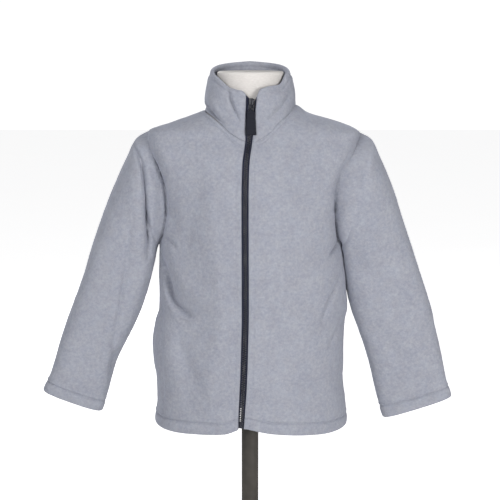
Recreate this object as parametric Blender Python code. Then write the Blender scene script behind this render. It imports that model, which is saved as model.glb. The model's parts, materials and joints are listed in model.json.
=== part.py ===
"""Child's fleece zip jacket, worn by a limbless dress form on a pole and a round foot.

Metres, +Z up. The wearer faces -Y, with the wearer's left arm at +X. The origin is the centre of the
foot's underside, on the pole's axis. Each cloth piece is a wall of real thickness: its outer surface
comes from the section tables, its inner one lies a cloth's thickness inside.
"""
import math

import bmesh
import bpy
import numpy as np

for leftover in list(bpy.data.objects):
    bpy.data.objects.remove(leftover, do_unlink=True)

RIGHT = -1  # the wearer's right, at -X
LEFT = 1
FRONT = -1
BACK = 1

# Cloth
CLOTH = 0.0025
HEM_CLOTH = 0.0050
HEM_STEPS = (0.0, 0.008, 0.016, 0.019)  # rows up from a hem; it is turned in as far as the third
SEAM_GAP = 0.0003

# Body of the jacket: horizontal sections of its outer surface
BODY_COLUMNS = ("height", "right_half", "left_half", "front", "back", "squareness")
BODY_SECTIONS = (
    (0.2500, 0.1400, 0.1435, 0.1000, 0.0905, 2.35),
    (0.2700, 0.1400, 0.1430, 0.1000, 0.0905, 2.35),
    (0.3000, 0.1372, 0.1408, 0.1000, 0.0905, 2.35),
    (0.3350, 0.1380, 0.1370, 0.0995, 0.0900, 2.30),
    (0.3560, 0.1412, 0.1380, 0.0992, 0.0898, 2.30),
    (0.3850, 0.1432, 0.1378, 0.0990, 0.0895, 2.30),
    (0.4170, 0.1385, 0.1392, 0.0985, 0.0890, 2.25),
    (0.4360, 0.1328, 0.1405, 0.0985, 0.0890, 2.25),
    (0.4560, 0.1322, 0.1385, 0.0985, 0.0890, 2.25),
    (0.4800, 0.1330, 0.1352, 0.0988, 0.0890, 2.20),
    (0.5300, 0.1320, 0.1325, 0.0988, 0.0892, 2.20),
    (0.5800, 0.1365, 0.1385, 0.0970, 0.0890, 2.15),
    (0.6200, 0.1400, 0.1450, 0.0925, 0.0875, 2.10),
    (0.6500, 0.1425, 0.1495, 0.0850, 0.0855, 2.05),
    (0.6700, 0.1440, 0.1530, 0.0770, 0.0830, 2.00),
    (0.6840, 0.1450, 0.1560, 0.0690, 0.0795, 2.00),
    (0.6915, 0.1452, 0.1578, 0.0655, 0.0775, 2.00),
    (0.6960, 0.1440, 0.1465, 0.0628, 0.0760, 2.00),
    (0.7085, 0.1078, 0.1114, 0.0570, 0.0720, 2.00),
    (0.7205, 0.0730, 0.0778, 0.0500, 0.0665, 2.00),
    (0.7290, 0.0560, 0.0585, 0.0440, 0.0600, 2.00),
    (0.7360, 0.0460, 0.0470, 0.0400, 0.0545, 2.00),
)
TIP_HEIGHT = {RIGHT: 0.6950, LEFT: 0.6925}
UNDERARM_HEIGHT = {RIGHT: 0.5300, LEFT: 0.5275}
SIDE_SEAM_FORWARD = 0.085  # share of the front quarter by which the side seam leads at the hem

# Armhole, from the underarm to the shoulder tip: how high, and how far round towards the side
ARMHOLE_COLUMNS = ("along", "rise", "front_round", "back_round")
ARMHOLE = (
    (0.00, 0.000, 1.000, 1.000),
    (0.12, 0.030, 0.900, 0.915),
    (0.25, 0.120, 0.800, 0.845),
    (0.40, 0.300, 0.735, 0.800),
    (0.55, 0.500, 0.728, 0.795),
    (0.70, 0.700, 0.775, 0.825),
    (0.85, 0.875, 0.875, 0.900),
    (1.00, 1.000, 1.000, 1.000),
)

# Hem heights, by distance round from the centre of the front
HEM_COLUMNS = ("round", "right_height", "left_height")
FRONT_HEM = (
    (-0.004, 0.2785, 0.2785),
    (0.012, 0.2780, 0.2742),
    (0.036, 0.2700, 0.2700),
    (0.086, 0.2668, 0.2655),
    (0.125, 0.2652, 0.2635),
    (0.180, 0.2648, 0.2640),
)
BACK_HEM_HEIGHT = 0.2570

# Neckline oval, seen from above, and the collar's top edge above it
NECK_HALF_WIDTH = 0.0655
NECK_FRONT = 0.0690
NECK_BACK = 0.0550
COLLAR_COLUMNS = ("turn", "half_width", "front_or_back", "height")  # turn: 0 front, 90 side, 180 back
COLLAR_TOP = (
    (0.0, 0.0575, 0.0605, 0.7520),
    (12.0, 0.0575, 0.0605, 0.7545),
    (30.0, 0.0575, 0.0600, 0.7585),
    (50.0, 0.0572, 0.0600, 0.7690),
    (65.0, 0.0568, 0.0600, 0.7745),
    (90.0, 0.0565, 0.0600, 0.7810),
    (130.0, 0.0570, 0.0600, 0.7880),
    (180.0, 0.0570, 0.0600, 0.7915),
)
COLLAR_BULGE = 0.0026
COLLAR_SLOT = 0.0020  # between the collar's two layers, where the zip tape is caught
COLLAR_INNER_CLOTH = 0.0023
COLLAR_SLOT_TOP = 0.0060  # below the folded top edge
COLLAR_CORNER_DROP = 0.0045  # the front corners round down to the zip
COLLAR_RISE = ((0.45, 1.0), (0.75, 0.8))  # share of the height, share of the bulge there
COLLAR_TOP_BULGE = 0.15
COLLAR_FOLD_ROUND = 0.3  # how round the folded top edge is, as a share of half its thickness
TAPE_ROWS = (1.0, 2.0, 2.92)  # rows of the collar's outer layer that the zip tape follows

# Where the neckline meets the zip, and the range of heights in which the neckline is looked for
ZIP_AT_NECK = 0.6840
NECK_LOWEST = 0.6400
NECK_HIGHEST = 0.7360
NECK_HALVINGS = 40

# Zip: where it runs, by height, and its pieces
ZIP_COLUMNS = ("height", "offset", "half_opening")
ZIP_LINE = (
    (0.2700, -0.0132, 0.0036),
    (0.2985, -0.0120, 0.0040),
    (0.3450, -0.0092, 0.0044),
    (0.3900, -0.0077, 0.0044),
    (0.4480, -0.0066, 0.0044),
    (0.6060, -0.0069, 0.0044),
    (0.6500, -0.0060, 0.0044),
    (0.6820, -0.0020, 0.0044),
    (0.7020, 0.0003, 0.0045),
    (0.7300, 0.0007, 0.0052),
    (0.7480, 0.0007, 0.0070),
)
ZIP_FOOT_HEIGHT = 0.2785
TAPE_THICK = 0.0010
TAPE_BEHIND = 0.0005
TAPE_REACH = 0.0150
CHAIN_HALF_WIDTH = 0.0025
CHAIN_THICK = 0.0024
TAPE_START = CHAIN_HALF_WIDTH + 0.0004
TAPE_DEPTH = CLOTH + TAPE_BEHIND
CHAIN_DEPTH = TAPE_DEPTH + TAPE_THICK / 2  # middle of the chain, below the fleece's face
BOX_LENGTH = 0.0090
BOX_THICK = 0.0042
ZIP_END_INSET = 0.0005  # the box and pin end this far above the tapes' lower ends
CHAIN_STOP_SPACE = 0.0020  # closest that two cross-sections of the chain come
SLOPE_STEP = 0.0010  # half the length over which a direction or a slope is taken

SLIDER_LENGTH = 0.0130
SLIDER_PLATE = 0.0015
SLIDER_HALF_WIDTH = 0.0044
SLIDER_POST_HALF = 0.0014
SLIDER_CENTRE_HEIGHT = 0.7372
SLIDER_FRONT_FACE = 0.0004  # above the fleece's face
SLIDER_CLEAR = 0.0003  # between the chain and the slider's rear plate
RING_WIRE = 0.0012
RING_CLEAR = 0.0005
RING_HALF_WIDTH = 0.0031
RING_LENGTH = 0.0085
RING_CORNER = 0.0012
RING_CORNER_STEPS = 3
RING_WIRE_SIDES = 8
BRIDGE_DROP = 0.0026  # below the slider's middle
BRIDGE_WALL = 0.0009
BRIDGE_HALF_WIDTH = 0.0012
TAB_LENGTH = 0.0340
TAB_TOP_HALF = 0.0055
TAB_FOOT_HALF = 0.0076
TAB_THICK = 0.0020
TAB_RIBS = 5
TAB_RIB_DEPTH = 0.0003

# Sleeves: outer and inner point of each section as seen from the front, and its half depth
SLEEVE_COLUMNS = ("outer_x", "outer_z", "inner_x", "inner_z", "half_depth", "middle_y")
SLEEVE_SECTIONS = {
    RIGHT: (
        (0.1630, 0.6838, 0.1331, 0.5275, 0.0575, 0.000),
        (0.1775, 0.6570, 0.1342, 0.5245, 0.0575, 0.000),
        (0.1945, 0.6200, 0.1353, 0.5210, 0.0550, 0.000),
        (0.2115, 0.5780, 0.1364, 0.5165, 0.0510, 0.000),
        (0.2260, 0.5380, 0.1385, 0.5060, 0.0475, 0.000),
        (0.2355, 0.5080, 0.1434, 0.4860, 0.0450, -0.001),
        (0.2415, 0.4890, 0.1496, 0.4620, 0.0435, -0.002),
        (0.2512, 0.4620, 0.1587, 0.4350, 0.0420, -0.003),
        (0.2610, 0.4360, 0.1708, 0.4080, 0.0400, -0.004),
        (0.2708, 0.4095, 0.1845, 0.3810, 0.0370, -0.005),
        (0.2795, 0.3835, 0.1960, 0.3560, 0.0335, -0.006),
        (0.2868, 0.3600, 0.2035, 0.3320, 0.0300, -0.007),
        (0.2935, 0.3390, 0.2098, 0.3090, 0.0265, -0.008),
        (0.3050, 0.3130, 0.2186, 0.2818, 0.0225, -0.009),
    ),
    LEFT: (
        (0.1735, 0.6835, 0.1337, 0.5240, 0.0575, 0.000),
        (0.1880, 0.6560, 0.1348, 0.5205, 0.0565, 0.000),
        (0.2040, 0.6190, 0.1358, 0.5160, 0.0530, 0.000),
        (0.2205, 0.5700, 0.1370, 0.5080, 0.0480, 0.000),
        (0.2360, 0.5250, 0.1382, 0.4920, 0.0430, 0.000),
        (0.2490, 0.4850, 0.1412, 0.4620, 0.0390, -0.001),
        (0.2600, 0.4530, 0.1490, 0.4330, 0.0360, -0.002),
        (0.2660, 0.4340, 0.1560, 0.4110, 0.0335, -0.003),
        (0.2712, 0.4110, 0.1660, 0.3830, 0.0310, -0.004),
        (0.2760, 0.3920, 0.1718, 0.3640, 0.0290, -0.005),
        (0.2802, 0.3720, 0.1775, 0.3430, 0.0270, -0.006),
        (0.2842, 0.3520, 0.1822, 0.3240, 0.0245, -0.007),
        (0.2888, 0.3310, 0.1877, 0.3020, 0.0220, -0.008),
        (0.2972, 0.3035, 0.1965, 0.2712, 0.0190, -0.009),
    ),
}

# Largest folds: a soft trough (depth below 0) or ridge along a curve through three points
FOLD_STEPS = 33
FOLD_END_SHARE = 0.04  # a fold fades out towards its ends, and starts this far along the fade
FOLD_FADE = 0.7
FOLD_SHARPNESS = 2.5  # how fast a fold fades where the cloth turns away from its face
FOLD_COLUMNS = ("face", "x0", "z0", "x1", "z1", "x2", "z2", "depth", "half_width")
BODY_FOLDS = (
    (FRONT, -0.126, 0.500, -0.118, 0.448, -0.086, 0.418, -0.0060, 0.011),
    (FRONT, -0.135, 0.430, -0.110, 0.412, -0.075, 0.398, 0.0030, 0.014),
    (FRONT, 0.132, 0.488, 0.123, 0.455, 0.107, 0.412, -0.0050, 0.011),
    (FRONT, 0.136, 0.424, 0.122, 0.392, 0.105, 0.362, -0.0032, 0.012),
    (FRONT, -0.080, 0.560, -0.072, 0.520, -0.076, 0.480, 0.0018, 0.020),
    (BACK, -0.118, 0.505, -0.085, 0.455, -0.045, 0.425, -0.0055, 0.014),
    (BACK, 0.120, 0.500, 0.090, 0.452, 0.050, 0.415, -0.0060, 0.013),
    (BACK, -0.070, 0.640, 0.000, 0.625, 0.065, 0.643, -0.0035, 0.016),
    (BACK, -0.130, 0.380, -0.080, 0.350, -0.030, 0.345, 0.0035, 0.018),
)
SLEEVE_FOLDS = {
    RIGHT: (
        (FRONT, -0.168, 0.672, -0.152, 0.630, -0.146, 0.560, -0.0050, 0.011),
        (FRONT, -0.164, 0.520, -0.186, 0.450, -0.202, 0.365, -0.0060, 0.011),
        (FRONT, -0.215, 0.520, -0.222, 0.450, -0.246, 0.390, 0.0030, 0.014),
        (FRONT, -0.192, 0.372, -0.214, 0.358, -0.248, 0.362, -0.0042, 0.010),
        (BACK, -0.160, 0.560, -0.190, 0.470, -0.225, 0.395, -0.0060, 0.014),
    ),
    LEFT: (
        (FRONT, 0.160, 0.668, 0.150, 0.625, 0.143, 0.565, -0.0045, 0.011),
        (FRONT, 0.150, 0.520, 0.184, 0.480, 0.222, 0.440, -0.0042, 0.012),
        (FRONT, 0.175, 0.420, 0.205, 0.380, 0.240, 0.352, -0.0038, 0.012),
        (BACK, 0.165, 0.560, 0.195, 0.480, 0.232, 0.400, -0.0060, 0.013),
    ),
}

# Dress form, pole and foot
FORM_COLUMNS = ("height", "half_width", "front", "back", "squareness")
FORM_SECTIONS = (
    (0.3250, 0.0800, 0.0580, 0.0540, 2.2),
    (0.3270, 0.0900, 0.0670, 0.0630, 2.2),
    (0.3330, 0.0965, 0.0735, 0.0695, 2.2),
    (0.3450, 0.1000, 0.0765, 0.0725, 2.2),
    (0.3700, 0.0995, 0.0770, 0.0735, 2.2),
    (0.4100, 0.0945, 0.0755, 0.0715, 2.2),
    (0.4500, 0.0915, 0.0745, 0.0690, 2.2),
    (0.5000, 0.0930, 0.0765, 0.0695, 2.2),
    (0.5400, 0.0965, 0.0785, 0.0710, 2.2),
    (0.5800, 0.1010, 0.0790, 0.0730, 2.2),
    (0.6200, 0.1085, 0.0770, 0.0745, 2.15),
    (0.6500, 0.1150, 0.0720, 0.0735, 2.1),
    (0.6700, 0.1190, 0.0655, 0.0720, 2.0),
    (0.6840, 0.1195, 0.0590, 0.0700, 1.9),
    (0.6930, 0.1180, 0.0550, 0.0680, 1.8),
    (0.6990, 0.1150, 0.0530, 0.0665, 1.75),
    (0.7029, 0.1105, 0.0520, 0.0645, 1.7),
    (0.7087, 0.0955, 0.0505, 0.0610, 1.65),
    (0.7174, 0.0700, 0.0498, 0.0540, 1.7),
    (0.7240, 0.0550, 0.0495, 0.0490, 1.85),
    (0.7320, 0.0500, 0.0495, 0.0462, 2.0),
    (0.7420, 0.0478, 0.0495, 0.0455, 2.0),
    (0.7700, 0.0475, 0.0495, 0.0455, 2.0),
    (0.7742, 0.0472, 0.0492, 0.0452, 2.0),
)
FORM_MIDDLE_X = 0.0008
FORM_SIDES = 36
CAP_RADIUS = 0.0475
CAP_CHAMFER = 0.0018
CAP_THICK = 0.0044
CAP_TOP = 0.7790
CAP_MIDDLE_Y = -0.0020
POLE_RADIUS = 0.0125
POLE_FOOT = 0.0040
POLE_SIDES = 32
FLANGE_RADIUS = 0.0340
FLANGE_THICK = 0.0050
FLANGE_TUBE_RADIUS = 0.0160
FLANGE_TUBE_LENGTH = 0.0180
FOOT_RADIUS = 0.1500
FOOT_EDGE = 0.0080
FOOT_EDGE_ROUND = 0.0020
FOOT_UNDER_ROUND = 0.0010
FOOT_THICK = 0.0130
FOOT_BOSS_RADIUS = 0.0220
FOOT_BOSS_TOP = 0.0340
FOOT_BOSS_FLARE = 0.0060
FOOT_BOSS_RISE = 0.0040
TURNED_SIDES = 48

# Mesh density
SIDE_ROWS = 13
ARMHOLE_ROWS = 12
NECK_FRONT_COLUMNS = 7
NECK_BACK_COLUMNS = 10
SHOULDER_COLUMNS = 6
RING_SAMPLES = 181
SMOOTH_ANGLE = math.radians(50)
ALIGNED = 0.9  # normals this close, as a cosine, are always mitred


def column(table, names, name):
    """One named column of a table."""
    place = names.index(name)
    return np.array([row[place] for row in table], float)


def smooth_curve(knots, values, where):
    """Smooth curve through values at knots, with no overshoot between them."""
    knots = np.asarray(knots, float)
    values = np.asarray(values, float)
    where = np.clip(np.asarray(where, float), knots[0], knots[-1])
    step = np.diff(knots).reshape((-1,) + (1,) * (values.ndim - 1))
    slope = np.diff(values, axis=0) / step
    before = slope[:-1]
    after = slope[1:]
    same_way = before * after > 0
    harmonic = 2 * before * after / np.where(same_way, before + after, 1.0)
    tangent = np.concatenate([slope[:1], np.where(same_way, harmonic, 0.0), slope[-1:]])
    cell = np.clip(np.searchsorted(knots, where, side="right") - 1, 0, len(knots) - 2)
    shape = where.shape + (1,) * (values.ndim - 1)
    width = (knots[cell + 1] - knots[cell]).reshape(shape)
    t = ((where - knots[cell]).reshape(shape)) / width
    rise = values[cell + 1] - values[cell]
    start = tangent[cell] * width
    end = tangent[cell + 1] * width
    return values[cell] + t * (start + t * (3 * rise - 2 * start - end + t * (start + end - 2 * rise)))


def unit(vectors):
    """Vectors scaled to a length of one."""
    return vectors / np.linalg.norm(vectors, axis=-1, keepdims=True)


def body_value(name, height):
    """A size of the jacket's body at a height."""
    heights = column(BODY_SECTIONS, BODY_COLUMNS, "height")
    return smooth_curve(heights, column(BODY_SECTIONS, BODY_COLUMNS, name), height)


def half_width(side, height):
    return np.where(side < 0, body_value("right_half", height), body_value("left_half", height))


def body_depth(face, height):
    return np.where(face < 0, body_value("front", height), body_value("back", height))


def half_rings(side, height):
    """Half of each section, from the middle of the front to the middle of the back.

    Returns x, y and the distance round, each with a row for each height.
    """
    turn = np.linspace(0, math.pi, 2 * RING_SAMPLES - 1)
    power = 2 / body_value("squareness", height)[:, None]
    x = half_width(side, height)[:, None] * np.abs(np.sin(turn)) ** power
    x[:, 0] = 0
    x[:, -1] = 0
    front = body_value("front", height)[:, None]
    back = body_value("back", height)[:, None]
    deep = np.where(turn < math.pi / 2, front, back)
    y = -np.sign(np.cos(turn)) * deep * np.abs(np.cos(turn)) ** power
    y[:, RING_SAMPLES - 1] = 0
    travel = np.cumsum(np.hypot(np.diff(x, axis=1), np.diff(y, axis=1)), axis=1)
    travel = np.hstack([np.zeros((len(travel), 1)), travel])
    return x, y, travel


def quarter_length(side, height, face):
    """Distance round from the middle of a face to the side."""
    travel = half_rings(np.full(len(height), side), height)[2]
    if face == FRONT:
        return travel[:, RING_SAMPLES - 1]
    return travel[:, -1] - travel[:, RING_SAMPLES - 1]


def round_of_x(x, height, face):
    """Distance round, from the middle of a face, of the surface point at x."""
    x = np.asarray(x, float)
    across, _, travel = half_rings(np.sign(x), height)
    result = np.zeros(len(x))
    for i in range(len(x)):
        if face == FRONT:
            reach = slice(0, RING_SAMPLES)
            result[i] = np.interp(abs(x[i]), across[i, reach], travel[i, reach])
        else:
            reach = slice(RING_SAMPLES - 1, None)
            along = np.interp(-abs(x[i]), -across[i, reach], travel[i, reach])
            result[i] = travel[i, -1] - along
    return result * np.sign(x)


def surface_normal(points):
    """Outward normal of the plain body surface at points on it."""
    x, y, z = points.T
    side = np.where(x < 0, RIGHT, LEFT)
    face = np.where(y < 0, FRONT, BACK)
    wide = half_width(side, z)
    deep = body_depth(face, z)
    above = z + SLOPE_STEP
    below = z - SLOPE_STEP
    widening = (half_width(side, above) - half_width(side, below)) / (2 * SLOPE_STEP)
    deepening = (body_depth(face, above) - body_depth(face, below)) / (2 * SLOPE_STEP)
    power = body_value("squareness", z)
    share_x = np.abs(x) / wide
    share_y = np.abs(y) / deep
    down = -(share_x ** power) * widening / wide - share_y ** power * deepening / deep
    across = np.sign(x) * share_x ** (power - 1) / wide
    ahead = np.sign(y) * share_y ** (power - 1) / deep
    return unit(np.stack([across, ahead, down], axis=1))


def fold_height(folds, points, facing):
    """How far the folds lift each point; facing is the y part of its normal."""
    lift = np.zeros(len(points))
    along = np.linspace(0, 1, FOLD_STEPS)
    fade = np.sin(math.pi * (FOLD_END_SHARE + (1 - 2 * FOLD_END_SHARE) * along)) ** FOLD_FADE
    for face, x0, z0, x1, z1, x2, z2, depth, half in folds:
        middle_x = 2 * x1 - (x0 + x2) / 2
        middle_z = 2 * z1 - (z0 + z2) / 2
        path_x = (1 - along) ** 2 * x0 + 2 * along * (1 - along) * middle_x + along ** 2 * x2
        path_z = (1 - along) ** 2 * z0 + 2 * along * (1 - along) * middle_z + along ** 2 * z2
        apart = np.hypot(points[:, :1] - path_x, points[:, 2:] - path_z)
        toward = np.clip(facing * face * FOLD_SHARPNESS, 0, 1)
        lift += depth * toward * fade[apart.argmin(axis=1)] * np.exp(-((apart.min(axis=1) / half) ** 2))
    return lift


def body_points(around, height, face):
    """Points of the jacket's body, at signed distances round from the middle of a face."""
    around = np.asarray(around, float)
    height = np.asarray(height, float)
    x, y, travel = half_rings(np.where(around < 0, RIGHT, LEFT), height)
    wanted = np.abs(around) if face == FRONT else travel[:, -1] - np.abs(around)
    cell = np.clip((travel < wanted[:, None]).sum(axis=1) - 1, 0, travel.shape[1] - 2)
    rows = np.arange(len(around))
    part = (wanted - travel[rows, cell]) / (travel[rows, cell + 1] - travel[rows, cell])
    across = x[rows, cell] + part * (x[rows, cell + 1] - x[rows, cell])
    ahead = y[rows, cell] + part * (y[rows, cell + 1] - y[rows, cell])
    points = np.stack([across * np.where(around < 0, RIGHT, LEFT), ahead, height], axis=1)
    normal = surface_normal(points)
    return points + normal * fold_height(BODY_FOLDS, points, normal[:, 1])[:, None]


def zip_value(name, height):
    heights = column(ZIP_LINE, ZIP_COLUMNS, "height")
    return smooth_curve(heights, column(ZIP_LINE, ZIP_COLUMNS, name), height)


def hem_rows(start, end, count):
    """Heights from a hem up to an edge's end, with the hem's own rows first."""
    first = start + np.array(HEM_STEPS)
    return np.concatenate([first[:-1], np.linspace(first[-1], end, count + 1)])


def side_seam(side):
    """The side seam, as heights and distances round from the middle of the front."""
    foot = column(FRONT_HEM, HEM_COLUMNS, "right_height" if side == RIGHT else "left_height")[-1]
    height = hem_rows(foot, UNDERARM_HEIGHT[side], SIDE_ROWS)
    rise = (height - foot) / (UNDERARM_HEIGHT[side] - foot)
    share = 1 - SIDE_SEAM_FORWARD * (1 - rise ** 3)
    return height, share * quarter_length(side, height, FRONT)


def armhole(side, face):
    """The armhole from the underarm to the shoulder tip, as heights and distances round."""
    along = np.linspace(0, 1, ARMHOLE_ROWS + 1)
    knots = column(ARMHOLE, ARMHOLE_COLUMNS, "along")
    rise = smooth_curve(knots, column(ARMHOLE, ARMHOLE_COLUMNS, "rise"), along)
    name = "front_round" if face == FRONT else "back_round"
    share = smooth_curve(knots, column(ARMHOLE, ARMHOLE_COLUMNS, name), along)
    height = UNDERARM_HEIGHT[side] + rise * (TIP_HEIGHT[side] - UNDERARM_HEIGHT[side])
    return height, share * quarter_length(side, height, face)


def on_surface_height(x, y):
    """Height at which the body surface passes through each x, y near the neck."""
    side = np.where(x < 0, RIGHT, LEFT)
    face = np.where(y < 0, FRONT, BACK)
    low = np.full(len(x), NECK_LOWEST)
    high = np.full(len(x), NECK_HIGHEST)
    for _ in range(NECK_HALVINGS):
        middle = (low + high) / 2
        power = body_value("squareness", middle)
        share = (np.abs(x) / half_width(side, middle)) ** power
        share = share + (np.abs(y) / body_depth(face, middle)) ** power
        inside = share < 1
        low = np.where(inside, middle, low)
        high = np.where(inside, high, middle)
    return low


def neckline(side, face, count):
    """The neckline from the middle of a face to the shoulder, as heights and distances round."""
    deep = NECK_FRONT if face == FRONT else NECK_BACK
    start = 0.0
    if face == FRONT:
        edge = zip_value("offset", ZIP_AT_NECK) + side * zip_value("half_opening", ZIP_AT_NECK)
        start = math.asin(side * edge / NECK_HALF_WIDTH)
    turn = np.linspace(start, math.pi / 2, count + 1)
    x = side * NECK_HALF_WIDTH * np.sin(turn)
    y = face * deep * np.cos(turn)
    height = on_surface_height(x, y)
    return height, round_of_x(x, height, face)


def shoulder(side, face):
    """The shoulder seam from the neck to the tip, as heights and distances round."""
    neck = on_surface_height(np.array([side * NECK_HALF_WIDTH]), np.array([0.0]))[0]
    height = np.linspace(neck, TIP_HEIGHT[side], SHOULDER_COLUMNS + 1)
    return height, side * quarter_length(side, height, face)


def shares(edge_a, edge_b):
    """Mean share of the way along two matching edges, at each of their points."""
    result = []
    for edge in (edge_a, edge_b):
        travel = np.cumsum(np.linalg.norm(np.diff(edge, axis=0), axis=1))
        result.append(np.concatenate([[0], travel / travel[-1]]))
    return (result[0] + result[1]) / 2


def fill_between(bottom, top, left, right):
    """Grid of flat points between four edges that share their corners."""
    u = shares(bottom, top)[None, :, None]
    v = shares(left, right)[:, None, None]
    ruled = (1 - v) * bottom[None] + v * top[None] + (1 - u) * left[:, None] + u * right[:, None]
    corners = (1 - v) * ((1 - u) * bottom[0] + u * bottom[-1]) + v * ((1 - u) * top[0] + u * top[-1])
    return ruled - corners


def grid_normals(points, closed=False):
    """Unit normals of a grid of points; columns run round when closed."""
    if closed:
        across = np.roll(points, -1, axis=1) - np.roll(points, 1, axis=1)
    else:
        across = np.gradient(points, axis=1)
    return unit(np.cross(across, np.gradient(points, axis=0)))


def panel(flat, face):
    """A panel of the body from its flat grid: outer points, normals and thickness."""
    rows, columns = flat.shape[:2]
    points = body_points(flat[..., 0].ravel(), flat[..., 1].ravel(), face).reshape(rows, columns, 3)
    normal = grid_normals(points)
    outward = surface_normal(points.reshape(-1, 3)).reshape(points.shape)
    if (normal * outward).sum() < 0:
        normal = -normal
    thick = np.full((rows, columns), CLOTH)
    thick[:3] = HEM_CLOTH
    return {"outer": points, "normal": normal, "thick": thick, "shift": np.zeros_like(points)}


def front_panel(side):
    """A front: centre edge, hem, side seam with armhole, neckline with shoulder."""
    neck_height, neck_round = neckline(side, FRONT, NECK_FRONT_COLUMNS)
    tip_height, tip_round = shoulder(side, FRONT)
    top = np.stack([np.append(neck_round, tip_round[1:]), np.append(neck_height, tip_height[1:])], axis=1)
    side_height, side_round = side_seam(side)
    arm_height, arm_round = armhole(side, FRONT)
    outside = np.stack(
        [side * np.append(side_round, arm_round[1:]), np.append(side_height, arm_height[1:])], axis=1)
    outside[-1] = top[-1]
    height = hem_rows(ZIP_FOOT_HEIGHT, top[0, 1], SIDE_ROWS + ARMHOLE_ROWS)
    edge = zip_value("offset", height) + side * zip_value("half_opening", height)
    centre = np.stack([edge, height], axis=1)
    centre[-1] = top[0]
    around = np.linspace(centre[0, 0], outside[0, 0], top.shape[0])
    name = "right_height" if side == RIGHT else "left_height"
    hem = smooth_curve(column(FRONT_HEM, HEM_COLUMNS, "round"), column(FRONT_HEM, HEM_COLUMNS, name),
                       side * around)
    bottom = np.stack([around, hem], axis=1)
    bottom[0] = centre[0]
    bottom[-1] = outside[0]
    piece = panel(fill_between(bottom, top, centre, outside), FRONT)
    piece["thick"][:, :2] = CLOTH  # the hem is trimmed away behind the zip tape
    return piece


def back_panel():
    """The back: side seams with armholes, hem, shoulders and neckline."""
    edges = {}
    tops = {}
    for side in (RIGHT, LEFT):
        side_height, side_round = side_seam(side)
        whole = half_rings(np.full(len(side_height), side), side_height)[2][:, -1]
        arm_height, arm_round = armhole(side, BACK)
        around = np.append(whole - side_round, arm_round[1:])
        edges[side] = np.stack([side * around, np.append(side_height, arm_height[1:])], axis=1)
        neck_height, neck_round = neckline(side, BACK, NECK_BACK_COLUMNS // 2)
        tip_height, tip_round = shoulder(side, BACK)
        tops[side] = np.stack(
            [np.append(neck_round, tip_round[1:]), np.append(neck_height, tip_height[1:])], axis=1)
        edges[side][-1] = tops[side][-1]
    top = np.concatenate([tops[RIGHT][::-1], tops[LEFT][1:]])
    around = np.linspace(edges[RIGHT][0, 0], edges[LEFT][0, 0], len(top))
    middle = 1 - np.abs(np.linspace(-1, 1, len(top))) ** 2
    level = np.linspace(edges[RIGHT][0, 1], edges[LEFT][0, 1], len(top))
    hem = level + (BACK_HEM_HEIGHT - level) * middle
    bottom = np.stack([around, hem], axis=1)
    return panel(fill_between(bottom, top, edges[RIGHT], edges[LEFT]), BACK)


def sleeve_panel(side, armhole_ring):
    """A sleeve: rings from the armhole to the cuff, each from the tip round the front and back."""
    table = SLEEVE_SECTIONS[side]
    turn = math.pi * np.arange(2 * ARMHOLE_ROWS) / ARMHOLE_ROWS
    rings = [armhole_ring]
    for outer_x, outer_z, inner_x, inner_z, half_depth, middle_y in table:
        half = np.array([side * (outer_x - inner_x), 0, outer_z - inner_z]) / 2
        middle = np.array([side * (outer_x + inner_x) / 2, middle_y, (outer_z + inner_z) / 2])
        depth = np.array([0, -half_depth, 0])
        rings.append(middle + np.cos(turn)[:, None] * half + np.sin(turn)[:, None] * depth)
    rings = np.array(rings)
    last = len(table)
    length = np.linalg.norm(rings[last, 0] - rings[last - 1, 0])
    hem = [last - step / length for step in reversed(HEM_STEPS)]
    rows = np.concatenate([np.arange(last), hem])
    points = smooth_curve(np.arange(last + 1), rings, rows)
    normal = grid_normals(points, closed=True)
    centre = points.mean(axis=1, keepdims=True)
    if (normal * (points - centre)).sum() < 0:
        normal = -normal
    flat = points.reshape(-1, 3)
    lift = fold_height(SLEEVE_FOLDS[side], flat, normal[..., 1].ravel()).reshape(points.shape[:2])
    lift = lift * np.clip(rows / 2, 0, 1)[:, None]
    points = points + normal * lift[..., None]
    outward = grid_normals(points, closed=True)
    outward = outward * np.sign((outward * normal).sum(axis=-1, keepdims=True))
    thick = np.full(points.shape[:2], CLOTH)
    thick[-3:] = HEM_CLOTH
    return {"outer": points, "normal": outward, "thick": thick, "shift": np.zeros_like(points)}


def join(piece_a, spots_a, inside_a, piece_b, spots_b, inside_b):
    """Part two pieces by the seam gap and mitre their walls.

    spots are (row, column) pairs that lie at one place, and inside the step into each piece.
    """
    for (row_a, col_a), (row_b, col_b), step_a, step_b in zip(spots_a, spots_b, inside_a, inside_b):
        place = piece_a["outer"][row_a, col_a]
        into_a = unit(piece_a["outer"][row_a + step_a[0], col_a + step_a[1]] - place)
        into_b = unit(piece_b["outer"][row_b + step_b[0], col_b + step_b[1]] - place)
        apart = unit(into_b - into_a)
        piece_a["shift"][row_a, col_a] -= apart * SEAM_GAP / 2
        piece_b["shift"][row_b, col_b] += apart * SEAM_GAP / 2
        normal_a = piece_a["plain"][row_a, col_a]
        normal_b = piece_b["plain"][row_b, col_b]
        if (normal_b - normal_a) @ apart > 0 or normal_a @ normal_b > ALIGNED:
            mitred = (normal_a + normal_b) / (1 + normal_a @ normal_b)
            piece_a["normal"][row_a, col_a] = mitred
            piece_b["normal"][row_b, col_b] = mitred


def new_object(name, vertices, faces, material, smooth=True):
    """Mesh object with its faces turned outwards."""
    mesh = bpy.data.meshes.new(name)
    mesh.from_pydata([tuple(map(float, v)) for v in vertices], [], faces)
    work = bmesh.new()
    work.from_mesh(mesh)
    bmesh.ops.recalc_face_normals(work, faces=work.faces)
    work.to_mesh(mesh)
    work.free()
    if smooth:
        mesh.shade_smooth()
        mesh.set_sharp_from_angle(angle=SMOOTH_ANGLE)
    mesh.materials.append(material)
    made = bpy.data.objects.new(name, mesh)
    bpy.context.scene.collection.objects.link(made)
    return made


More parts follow.
